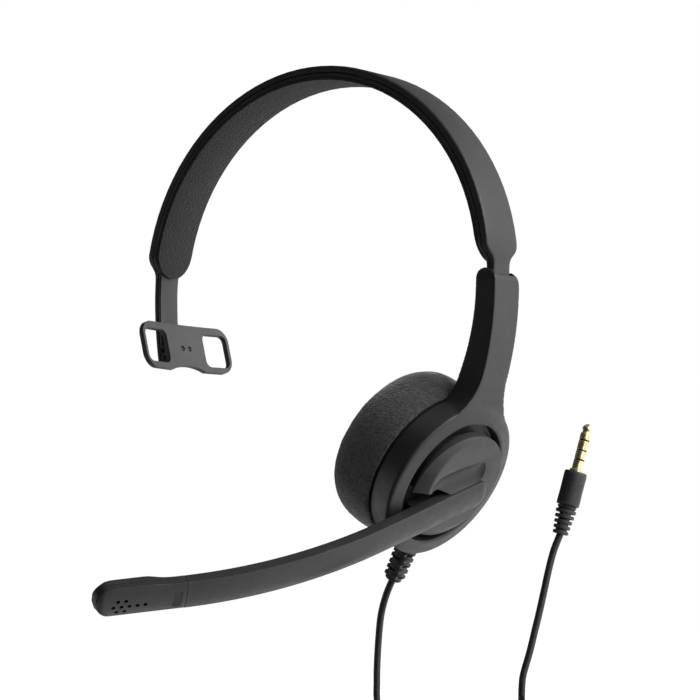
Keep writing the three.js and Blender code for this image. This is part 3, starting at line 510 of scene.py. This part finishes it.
EVEN = (1, 1, 1)
SATIN = moulded("satin_black", (0.026, 0.026, 0.027), (0.033, 0.033, 0.034), (0.06, 0.06, 0.061), 0.44)
BAND = moulded("band_black", (0.026, 0.026, 0.027), (0.032, 0.032, 0.033), (0.055, 0.055, 0.056), 0.48,
               grain=2000, depth=0.00003)
# The darkest black: the plug's insulators really are this dark, but on the speaker plate it is painted shade
# beside the ring.
DARKEST_BLACK_AND_SHADE = moulded("darkest_black_and_painted_shade", (0.012, 0.012, 0.0125), (0.018, 0.018, 0.0185), (0.03, 0.03, 0.031), 0.55)
WARM_GREY = moulded("warm_grey", (0.062, 0.058, 0.059), (0.075, 0.071, 0.072), (0.13, 0.125, 0.125), 0.55,
                    grain=1800, depth=0.00003)
STEEL = metal("spring_steel", (0.33, 0.34, 0.35), (0.5, 0.51, 0.52), 0.32)
SCREW_STEEL = metal("screw_steel", (0.25, 0.255, 0.26), (0.42, 0.42, 0.43), 0.28, 1600, EVEN)
BLACK_STEEL = metal("black_steel", (0.03, 0.03, 0.031), (0.06, 0.06, 0.061), 0.2, 1600, EVEN)
GOLD = metal("gold_plating", (0.9, 0.74, 0.4), (1.0, 0.9, 0.6), 0.34, 1500, EVEN)
RUBBER = rubber("soft_rubber", (0.026, 0.026, 0.027), (0.038, 0.038, 0.039), 0.55)
JACKET = rubber("cord_jacket", (0.018, 0.019, 0.022), (0.027, 0.029, 0.034), 0.42, 1200, 0.02)
FOAM = foam()
SKIN = leatherette()
CLOTH = woven("speaker_cloth", (0.006, 0.006, 0.006), (0.04, 0.04, 0.04), 0.0004)
PAPER = rubber("cone_paper", (0.05, 0.048, 0.046), (0.08, 0.077, 0.073), 0.8, 900, 0.1)
BOARD = circuit_board()

# ---- lead ---------------------------------------------------------------------------------

CORD_DIAMETER = 2.4
HANK_HALF = 13.0
HANK_RADII = [10.8, 8.4, 6.0]
HANK_LAYERS = 3
LEAD_DOWN = [
    (24.2, 5.8, -166.8), (23.8, 5.87, -167.5), (22.8, 6, -169.1), (21.4, 6.15, -171.6),
    (19.9, 6.35, -174.9), (18.5, 6.5, -179.3), (17.6, 6.65, -185), (17, 6.75, -191),
    (16.6, 6.8, -197), (16.5, 6.85, -202), (16.5, 6.85, -206.8), (17.35, 7.5, -210.8),
    (19.7, 9.3, -213.7), (22.8, 11.65, -214.8),
]
LEAD_UP = [
    (65.45, 20.04, -204.75), (66.29, 18.94, -202.35), (66.75, 18.7, -199.6), (67.4, 19.2, -196.4),
    (68.6, 20.1, -191.4), (69.9, 21.1, -184.8), (71.2, 22.1, -178.2), (72.5, 23.1, -171),
    (73.7, 24, -164.3), (75, 25, -158.3), (76.5, 26.15, -153.6), (76.8, 26.37, -152.4),
]


def hank_path():
    """The turns of the hank, from the lowest layer's outer run to the top layer's far end."""
    turns = [(radius, CORD_DIAMETER * (layer + 0.5))
             for layer in range(HANK_LAYERS) for radius in HANK_RADII[::-1 if layer % 2 else 1]]
    steps = 14
    path = []
    for k, (radius, height) in enumerate(turns):
        path += [(u, radius, height) for u in (-9, -3, 3, 9)]
        last = k == len(turns) - 1
        for i in range(steps + 1):
            angle = math.pi * i / steps
            if last and angle > math.pi / 2:
                break
            lift = CORD_DIAMETER * (2 * i / steps) ** 2 if last else 0
            path.append((HANK_HALF + radius * math.sin(angle), radius * math.cos(angle), height + lift))
        if last:
            break
        path += [(u, -radius, height) for u in (9, 3, -3, -9)]
        next_radius, next_height = turns[k + 1]
        for i in range(steps + 1):
            angle = math.pi * i / steps
            share = min(1.0, i / (0.66 * steps))
            share = share * share * (3 - 2 * share)
            r = radius + (next_radius - radius) * share
            z = height + (next_height - height) * share
            path.append((-HANK_HALF - r * math.sin(angle), -r * math.cos(angle), z))
    path.append((18.7, -2.3, path[-1][2] + 0.1))
    return [HANK @ Vector(point) for point in path]


STEPS_BETWEEN = 12


def smooth_line(points, spacing):
    """Points a fixed distance apart on one smooth curve through the given ones."""
    dense = []
    for i in range(len(points) - 1):
        a, b = points[i], points[i + 1]
        before = points[i - 1] if i else a * 2 - b
        after = points[i + 2] if i + 2 < len(points) else b * 2 - a
        for j in range(STEPS_BETWEEN):
            t = j / STEPS_BETWEEN
            dense.append(0.5 * ((2 * a) + (b - before) * t
                                + (2 * before - 5 * a + 4 * b - after) * t * t
                                + (3 * a - before - 3 * b + after) * t ** 3))
    dense.append(points[-1])
    line = [dense[0]]
    travelled = 0.0
    for a, b in zip(dense, dense[1:]):
        travelled += (b - a).length
        if travelled >= spacing:
            line.append(b)
            travelled = 0.0
    if (line[-1] - dense[-1]).length > spacing / 2:
        line.append(dense[-1])
    else:
        line[-1] = dense[-1]
    return line


LEAD_SPACING = 1.6
lead_down, lead_up = ([Vector(spot) for spot in run] for run in (LEAD_DOWN, LEAD_UP))
lead_line = smooth_line(lead_down + hank_path() + lead_up, LEAD_SPACING)

lead_curve = bpy.data.curves.new("lead", "CURVE")
lead_curve.dimensions = "3D"
lead_curve.bevel_depth = CORD_DIAMETER / 2 * MM
lead_curve.bevel_resolution = 4
lead_curve.use_fill_caps = True
lead_spline = lead_curve.splines.new("POLY")
lead_spline.points.add(len(lead_line) - 1)
for spot, point in zip(lead_spline.points, lead_line):
    spot.co = (*(point * MM), 1)
lead_spline.use_smooth = True
lead = bpy.data.objects.new("lead", lead_curve)
bpy.context.scene.collection.objects.link(lead)
lead_curve.materials.append(JACKET)
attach(lead, "arm")
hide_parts("lead_down", "lead_up", "lead_hank")

tie = from_frame("lead_tie", "lead_strap", HANK)
soften(tie, 0.3, 2)
finished(tie, "arm", "soft_black", RUBBER, "lead_tie", place=HANK)

# ---- plug ---------------------------------------------------------------------------------


def plug_boot():
    """The ribbed sleeve behind the plug: full rings on a core, bridged on alternate sides."""
    pitch, rings = 1.75, 5
    core = turned("plug_sleeve_boot", [(1.95, 0.3), (1.95, 9.5)], 40)
    pieces = []
    for i in range(rings):
        radius, foot = 2.6 + 0.2 * i, 0.3 + pitch * i
        pieces.append(turned("ring", [(radius - 0.2, foot), (radius, foot + 0.2), (radius, foot + 0.9),
                                      (radius - 0.2, foot + 1.1)], 40))
        if i % 2:
            for turn in (0, math.pi):
                outline = rounded_box(2.2, radius * 0.9, 0.2)
                bridge = slab("bridge", outline, foot + 0.9, foot + pitch + 0.1)
                bridge.data.transform(Matrix.Rotation(turn, 4, "Z") @ Matrix.Translation((0, radius / 2, 0)))
                pieces.append(bridge)
    pieces.append(turned("collar", [(2.6, 8.4), (2.75, 8.6), (3.2, 9.3), (3.2, 9.55)], 40))
    return join_in(core, *pieces)


plug_pieces = [finished(plug_boot(), "arm", "soft_black", RUBBER, "plug_boot", place=PLUG)]
grip = turned("plug_grip", [
    (3.0, 9.75), (3.45, 9.85), (3.75, 10.2), (3.78, 11.5), (3.72, 15), (3.78, 19.8), (3.7, 20.8),
    (3.45, 21.2), (2.6, 21.2), (2.55, 20.3)], 56)
plug_pieces.append(finished(grip, "arm", "soft_black", RUBBER, "plug_body", place=PLUG))
shank = turned("plug_contact_sleeve", [
    (2.2, 20.45), (2.3, 20.6), (2.3, 21.85), (2.15, 22), (1.75, 22.05), (1.75, 24.95), (1.6, 25.1),
    (0.9, 25.1)], 40)
plug_pieces.append(finished(shank, "arm", "gold_plate", GOLD, "plug_sleeve", place=PLUG))
for name, low, high in (("plug_ring_2", 25.5, 28.25), ("plug_ring_1", 28.65, 31.7)):
    ring = turned("plug_contact_" + name[-1], [
        (1.0, low), (1.62, low), (1.75, low + 0.12), (1.75, high - 0.12), (1.62, high), (1.0, high)], 40)
    plug_pieces.append(finished(ring, "arm", "gold_plate", GOLD, name, place=PLUG))
for number, low, high in ((3, 25.05, 25.55), (2, 28.2, 28.7), (1, 31.65, 32.15)):
    spacer = turned(f"plug_insulator_{number}", [(0.9, low), (1.66, low), (1.66, high), (0.9, high)], 40)
    plug_pieces.append(finished(spacer, "arm", "soft_black", DARKEST_BLACK_AND_SHADE, f"plug_spacer_{number}", place=PLUG))
tip = turned("plug_contact_tip", [
    (1.0, 32.1), (1.62, 32.1), (1.75, 32.22), (1.75, 33.6), (1.6, 34.1), (1.32, 34.5), (1.26, 34.8),
    (1.42, 35.2), (1.64, 35.7), (1.6, 36.1), (1.3, 36.6), (0.85, 37.05), (0.4, 37.33), (0.08, 37.4)], 40)
plug_pieces.append(finished(tip, "arm", "gold_plate", GOLD, "plug_tip", place=PLUG))

# ---- strain relief ------------------------------------------------------------------------

FOOT, PITCH, RIBS = 6.9, 2.2, 6
sleeve = turned("cord_relief", [(2.4, 0.6), (1.9, 0.7), (1.9, FOOT + PITCH * (RIBS - 0.4))], 40)
rings = []
for i in range(RIBS):
    radius, foot = 3.25 - 0.09 * i, FOOT + PITCH * i
    rings.append(turned("ring", [(radius - 0.25, foot), (radius, foot + 0.25), (radius, foot + 1.25),
                                 (radius - 0.25, foot + 1.5)], 44))
    if i < RIBS - 1:
        for side in (-1, 1):
            width, height = (5.2, 1.6) if i % 2 else (1.6, 5.2)
            outline = rounded_box(width, height, 0.3)
            bridge = slab("bridge", outline, foot + 1.3, foot + PITCH + 0.2)
            reach = side * (radius - 1)
            rings.append(shifted(bridge, *((0, reach) if i % 2 else (reach, 0))))
neck = turned("neck", [(3.1, -0.3), (3.1, 0.6), (1.95, 0.65), (1.95, FOOT + 0.4)], 44)
join_in(sleeve, *rings, neck)
finished(sleeve, "arm", "soft_black", RUBBER, "strain_relief", place=RELIEF)

# ---- headband -----------------------------------------------------------------------------

ARCH_RADIUS, LEG_RADIUS = 73, 150
ARCH_AXIS = Vector((0, 0, -68.1))
OUTER_EDGE_DEPTH, OUTER_EDGE_END = 0.9, -90


def outside_depth(point):
    """Depth of a point below the arch's outer face."""
    height = point.z - ARCH_AXIS.z
    if height > 0:
        return ARCH_RADIUS - Vector((point.x, height)).length
    return LEG_RADIUS - Vector((abs(point.x) + LEG_RADIUS - ARCH_RADIUS, height)).length


def outer_edge(edge):
    spot = middle(edge)
    return sharp(edge, 50) and outside_depth(spot) < OUTER_EDGE_DEPTH and spot.z > OUTER_EDGE_END


outer = from_frame("outer_band", "band_outer")
edit(outer, "EDGE")
choose(outer, "edges", outer_edge)
bpy.ops.mesh.bevel(offset=0.85, segments=5, affect="EDGES")
rest_hands()
finished(outer, "headband", "satin_black", BAND, "outer_band")

inner = from_frame("inner_band", "band_inner")
soften(inner, 0.22, 2, 50)
finished(inner, "headband", "satin_black", SATIN, "inner_band")

pad = from_frame("head_pad", "band_pad")
soften(pad, 0.7, 4, 50)
finished(pad, "headband", "soft_black", SKIN, "head_pad")

# ---- temple rest --------------------------------------------------------------------------

plate = from_frame("rest_plate", "temple_plate", REST)
soften(plate, 0.28, 3, 45)
finished(plate, "temple_rest", "warm_grey", WARM_GREY, "rest_plate", place=REST)

SCREW_OFFSET, SCREW_HEIGHT = 1.75, -0.3
for side, node in ((-1, "rest_screw_front"), (1, "rest_screw_rear")):
    screw = turned("plate_" + node[5:], [
        (0.3, -2.4), (0.45, -2.3), (0.45, -0.95), (0.9, -0.9), (0.93, -0.5), (0.8, -0.42), (0.66, -0.48),
        (0.5, -0.3), (0.2, -0.22)], 32)
    screw.data.transform(Matrix.Translation((0, side * SCREW_OFFSET, SCREW_HEIGHT))
                         @ Matrix.Rotation(math.pi / 2, 4, "Y"))
    finished(screw, "temple_rest", "steel", BLACK_STEEL, node, place=REST)

# ---- arm and cup --------------------------------------------------------------------------

housing = from_frame("arm_housing", "arm_shell", CUP)
ring = turned("ring", [
    (25.74, -10.02), (27.74, -1.1), (27.5, -0.3), (26.7, 0.18), (22.7, 1.03), (22.1, 0.85), (21.9, 0.5),
    (21.9, -5.02), (0.3, -5.02)], 160)
well = rod(23.38, -12, -5, steps=120)
hub = rod(6.86, -8, 4, steps=60)
cut(ring, rod(21.9, -3.08, 4, steps=120), well, hub)
lead_way = rod(2.25, 0, 12, steps=40)
lead_way.data.transform(CUP.inverted() @ RELIEF)
cut(join_in(housing, ring), lead_way)
modify(housing, "REMESH", mode="VOXEL", voxel_size=0.36)
modify(housing, "SMOOTH", factor=0.5, iterations=3)
# The arm's outer face is faired into the ring's.
meeting = housing.vertex_groups.new(name="meeting")
for vertex in housing.data.vertices:
    across, up, out = vertex.co
    if vertex.normal.z > 0.8 and out > -6 and 22 < up < 40 and abs(across) < 24:
        meeting.add([vertex.index], 1.0, "REPLACE")
modify(housing, "SMOOTH", factor=0.5, iterations=60, vertex_group="meeting")
modify(housing, "DECIMATE", ratio=0.6)
finished(housing, "arm", "satin_black", SATIN, "arm_housing", place=CUP, degrees=50)

cover = from_frame("arm_cover", "arm_inner_cover")
soften(cover, 0.35, 2, 50)
finished(cover, "arm", "satin_black", SATIN, "arm_cover")

cushion = turned("ear_foam", [
    (19.9, -17.2), (20, -17), (20, -12.2), (25.95, -11.9), (25.97, -10.5), (26.3, -10.35), (26.9, -11),
    (27.5, -13), (27.95, -16), (28.1, -19.3), (27.9, -22.5), (27.1, -25.4), (25.6, -27.8), (23.4, -29.4),
    (20.6, -30.1), (17.5, -30.1), (14.5, -29.7), (11.5, -28.6), (8.5, -27.5), (5, -26.8), (1.5, -26.6)], 96)
modify(cushion, "SUBSURF", levels=2, render_levels=2)
spots = [(vertex.co.copy(), vertex.normal.copy()) for vertex in cushion.data.vertices]
for vertex, (spot, out) in zip(cushion.data.vertices, spots):
    pits = noise.noise(spot * 2.6) * 0.07 + noise.noise(spot * 0.25) * 0.12
    vertex.co = spot + out * pits
finished(cushion, "arm", "foam_black", FOAM, "ear_cushion", place=CUP, degrees=180)

# ---- boom ---------------------------------------------------------------------------------

BOOM_STRAIGHT, BOOM_BEND, BOOM_FACE, BOOM_DEPTH = 30.0, 182.0, 5.7, 4.3
BOOM_UPPER, BOOM_LOWER, BOOM_DROOP = 1.1, 12.3, 0.9
ROOT_TIP, ROOT_ROUND = -13.3, 3.6
HEAD_START, HEAD_LENGTH, HEAD_SPLIT = 104.8, 29.2, 2.6


def smoothly(value, low, high):
    t = max(0.0, min(1.0, (value - low) / (high - low)))
    return t * t * (3 - 2 * t)


def boom_place(along):
    """A place on the boom's outer face: x runs along it, y across it and z out of it."""
    turn = max(0.0, along - BOOM_STRAIGHT) / BOOM_BEND
    x = min(along, BOOM_STRAIGHT) + BOOM_BEND * math.sin(turn)
    z = BOOM_FACE - BOOM_BEND * (1 - math.cos(turn))
    return Matrix.Translation((x, 0, z)) @ Matrix.Rotation(turn, 4, "Y")


def bar_section(upper, lower, depth, crown=1.0):
    """A bar's section across and out: a flat upper side, a crisp crease and a crowned face."""
    width = lower - upper
    return filleted([
        (upper, -depth, 0.5), (upper, -0.5 * depth, 2.5), (upper, -0.5 * crown, 0.22),
        (upper + 0.34 * width, 0.12 * crown, 60), (lower - 0.3 * width, -0.12 * crown, 60),
        (lower - 0.15, -1.5 * crown, 0.9), (lower, -1.5 * crown - 1, 0.8), (lower - 0.35, -depth, 0.6)], 5)


def boom_sections():
    sections = []
    for i in range(13):
        share = math.sin(math.pi / 2 * (0.04 + 0.96 * i / 12))
        along = ROOT_TIP + ROOT_ROUND * (1 - math.sqrt(max(0.0, 1 - share ** 2.4)))
        centre = (BOOM_UPPER + BOOM_LOWER) / 2
        half = (BOOM_LOWER - BOOM_UPPER) / 2 * share
        fall = 1.5 * (1 - share) ** 1.3
        outline = bar_section(centre - half, centre + half, BOOM_DEPTH - fall, share)
        sections.append([boom_place(along) @ Vector((0, y, z - fall)) for y, z in outline])
    for i in range(1, 61):
        along = ROOT_TIP + ROOT_ROUND + (HEAD_START - 0.1 - ROOT_TIP - ROOT_ROUND) * i / 60
        droop = BOOM_DROOP * smoothly(along, 25, HEAD_START)
        outline = bar_section(BOOM_UPPER + droop, BOOM_LOWER + droop, BOOM_DEPTH)
        sections.append([boom_place(along) @ Vector((0, y, z)) for y, z in outline])
    return sections


disc = turned("boom_turntable", [
    (0.3, -6.4), (6.4, -6.4), (6.4, -2.7), (16.8, -2.7), (16.8, 0.2), (19.1, 0.4), (19.3, 0.6),
    (19.3, 4.25), (0.3, 4.25)], 144)
# A dished border, wider on the boom's side, leaves a raised flat.
border = turned("border", [
    (0.3, -9), (32, -9), (32, 0.9), (21.9, 0.95), (17.35, 3.95), (17.0, 4.17), (16.5, 4.25),
    (0.3, 4.3)], 160)
border.data.transform(Matrix.Translation((-2.5, -1.0, 0)))
modify(disc, "BOOLEAN", operation="INTERSECT", solver="EXACT", object=border)
bpy.data.objects.remove(border)
# A trough along the boom's upper side, and a pocket where it runs out through the border.
trough = turned("trough", [
    (0.3, -12.6), (3.6, -12.4), (5.6, -11.8), (6.6, -10.6), (7.0, -8.6), (7.3, -2), (7.4, 5), (7.1, 9.5),
    (6.0, 12.6), (3.8, 14.2), (0.3, 15)], 72)
trough.data.transform(Matrix.Translation((0, -3.6, 9.9)) @ Matrix.Rotation(math.radians(-3.5), 4, "Z")
                      @ Matrix.Rotation(math.pi / 2, 4, "Y"))
pocket = slab("pocket", [(2.5, 1.5), (8.6, -2.6), (16, -4.1), (24, -5.6), (24, 3), (4, 3)], -3.5, 6)
cut(disc, trough, pocket)
soften(disc, 0.25, 3, 32)
finished(disc, "boom", "satin_black", SATIN, "boom_disc", place=BOOM)

beam = lofted("boom_arm", boom_sections())
finished(beam, "boom", "satin_black", SATIN, "boom_beam", place=BOOM, degrees=50)


def head_edges(x):
    """Where the microphone head's upper and lower edges are, this far from the boom."""
    upper = BOOM_UPPER + BOOM_DROOP - 0.8 * smoothly(x, 3, 13)
    if x > 22.2:
        upper += 6 * (1 - math.sqrt(max(0.0, (HEAD_LENGTH - x) / 7))) ** 2
    lower = BOOM_LOWER + BOOM_DROOP - 0.1
    if x > 24.2:
        lower -= 1.6 * min(1.0, (x - 24.2) / 3) ** 2
    if x > 27.2:
        lower -= 1.55 * (x - 27.2)
    return upper, lower


def head_sections():
    sections = []
    stops = [0.05 + 23 * i / 14 for i in range(15)]
    stops += [23 + 6 * math.sin(math.pi / 2 * i / 16) for i in range(1, 17)]
    for x in stops:
        upper, lower = head_edges(x)
        depth = BOOM_DEPTH + 0.75 * smoothly(x, 7, 12.5) - 0.9 * smoothly(x, 25, 29)
        narrow = min(1.0, (lower - upper) / 9)
        outline = bar_section(upper, lower, depth, narrow)
        fall = 0.5 * smoothly(x, 26.5, 29.2)
        sections.append([Vector((x, y, z - fall)) for y, z in outline])
    return sections


def keep_half(obj, height, upper):
    edit(obj)
    bpy.ops.mesh.select_all(action="SELECT")
    bpy.ops.mesh.bisect(plane_co=(0, 0, height), plane_no=(0, 0, 1), use_fill=True,
                        clear_inner=upper, clear_outer=not upper)
    rest_hands()
    return obj


HOLES_X, HOLES_Y, HOLE_PITCH, HOLE_RADIUS = 18.2, 8.5, 2.55, 0.66
ROOM_Y, SLOTS_Y, SLOT_PITCH = 7.3, 7.6, 1.6
HEAD = BOOM @ boom_place(HEAD_START)
hole_places = [(HOLES_X - i * HOLE_PITCH, HOLES_Y) for i in range(-2, 3)]
hole_places += [(HOLES_X + step * HOLE_PITCH, HOLES_Y + side * HOLE_PITCH * 0.87)
                for side in (-1, 1) for step in (0.5, 1.5)]



def opening(x, y, width, height, corner, low, high):
    """A tool for a round-cornered opening or room centred at x and y."""
    return shifted(slab("opening", rounded_box(width, height, corner), low, high), x, y)


front = keep_half(lofted("mic_shell_front", head_sections()), -HEAD_SPLIT, True)
cut(front, opening(HOLES_X, ROOM_Y, 10, 7.4, 2, -HEAD_SPLIT - 1, -1.25),
    opening(2.8, 8, 2.7, 5.7, 0.2, -4, 2),
    *[rod(HOLE_RADIUS, -2, 1.5, x, y) for x, y in hole_places])
finished(front, "boom", "satin_black", SATIN, "mic_head_front", place=HEAD, degrees=50)

back = keep_half(lofted("mic_shell_back", head_sections()), -HEAD_SPLIT - 0.12, False)
cut(back, opening(HOLES_X, ROOM_Y, 10, 7.4, 2, -3.9, -1),
    *[opening(HOLES_X, SLOTS_Y + SLOT_PITCH * i, 4, 0.8, 0.38, -7, -3) for i in (-1, 0, 1)])
finished(back, "boom", "satin_black", SATIN, "mic_head_back", place=HEAD, degrees=50)

# ---- pieces that keep their solid ---------------------------------------------------------

KEPT = {
    "spring_band": STEEL, "tongue_stop": STEEL, "rest_leaf": SATIN, "rest_pin": BLACK_STEEL,
    "arm_cover_screw_upper": SCREW_STEEL, "arm_cover_screw_lower": SCREW_STEEL,
    # The speaker plate gets the darkest black as painted shade, where its flange shows beside the ring.
    "detent_leaf": STEEL, "speaker_plate": DARKEST_BLACK_AND_SHADE,
    "speaker_frame": DARKEST_BLACK_AND_SHADE, "speaker_cone": PAPER, "speaker_magnet": SCREW_STEEL, "speaker_cloth": CLOTH,
    "terminal_board": BOARD, "boom_washer": STEEL, "boom_screw": SCREW_STEEL, "mic_window": DARKEST_BLACK_AND_SHADE,
    "mic_capsule": SCREW_STEEL, "mic_boot": RUBBER,
}
for node, material in KEPT.items():
    NODES[node].data.materials.clear()
    NODES[node].data.materials.append(material)

# ---- floor and light ----------------------------------------------------------------------

rest_hands()
bpy.ops.mesh.primitive_plane_add(size=60, location=(0, 0, SURFACE_Z * MM))
floor = bpy.context.object
floor.name = "floor"
floor_material, _, floor_shader, _ = finish_nodes("floor_paper", 0.9, 0.2)
floor_shader.inputs["Base Color"].default_value = (0.9, 0.9, 0.9, 1)
floor_shader.inputs["Emission Color"].default_value = (1, 1, 1, 1)
floor_shader.inputs["Emission Strength"].default_value = 0.97
floor.data.materials.append(floor_material)
floor.visible_glossy = False
floor.visible_diffuse = False
floor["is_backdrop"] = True

world = bpy.data.worlds.new("studio")
bpy.context.scene.world = world
world.use_nodes = True
tree = world.node_tree
tree.nodes.clear()
direction = tree.nodes.new("ShaderNodeTexCoord").outputs["Generated"]


def glow(towards, first, last, least, most):
    """Light that grows as a direction nears this one."""
    dot = tree.nodes.new("ShaderNodeVectorMath")
    dot.operation = "DOT_PRODUCT"
    dot.inputs[1].default_value = Vector(towards).normalized()
    tree.links.new(direction, dot.inputs[0])
    spread = tree.nodes.new("ShaderNodeMapRange")
    spread.interpolation_type = "SMOOTHSTEP"
    for key, number in zip(("From Min", "From Max", "To Min", "To Max"), (first, last, least, most)):
        spread.inputs[key].default_value = number
    tree.links.new(dot.outputs["Value"], spread.inputs["Value"])
    return spread.outputs["Result"]


# A main light, and a weaker one from the other side. The eye sees plain white.
together = tree.nodes.new("ShaderNodeMath")
tree.links.new(glow((0.45, 0.8, -0.36), 0.0, 0.97, 0.03, 1.65), together.inputs[0])
tree.links.new(glow((-0.93, -0.2, -0.3), 0.72, 1.0, 0.0, 0.9), together.inputs[1])
seen = tree.nodes.new("ShaderNodeBackground")
seen.inputs["Color"].default_value = (1, 1, 1, 1)
lit = tree.nodes.new("ShaderNodeBackground")
tree.links.new(together.outputs[0], lit.inputs["Strength"])
path = tree.nodes.new("ShaderNodeLightPath")
choice = tree.nodes.new("ShaderNodeMixShader")
tree.links.new(path.outputs["Is Camera Ray"], choice.inputs["Fac"])
tree.links.new(lit.outputs["Background"], choice.inputs[1])
tree.links.new(seen.outputs["Background"], choice.inputs[2])
out = tree.nodes.new("ShaderNodeOutputWorld")
tree.links.new(choice.outputs["Shader"], out.inputs["Surface"])


def softbox(name, location, target, size, power):
    data = bpy.data.lights.new(name, "AREA")
    data.shape = "RECTANGLE"
    data.size, data.size_y = size
    data.energy = power
    lamp = bpy.data.objects.new(name, data)
    bpy.context.scene.collection.objects.link(lamp)
    lamp.location = location
    aim = Vector(target) - Vector(location)
    lamp.rotation_euler = aim.to_track_quat("-Z", "Y").to_euler()


softbox("key", (1.1, 0.35, 0.6), (0, 0, -0.09), (0.7, 0.7), 13)
softbox("strip", (0.95, -0.35, 0.05), (0.08, 0.03, -0.12), (0.22, 0.9), 3)
softbox("top", (-0.1, -0.1, 1.0), (0, 0, -0.09), (0.8, 0.8), 0.8)

bpy.context.scene.view_settings.view_transform = "Standard"
bpy.context.scene.view_settings.look = "None"

# ---- size ---------------------------------------------------------------------------------

low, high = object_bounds()
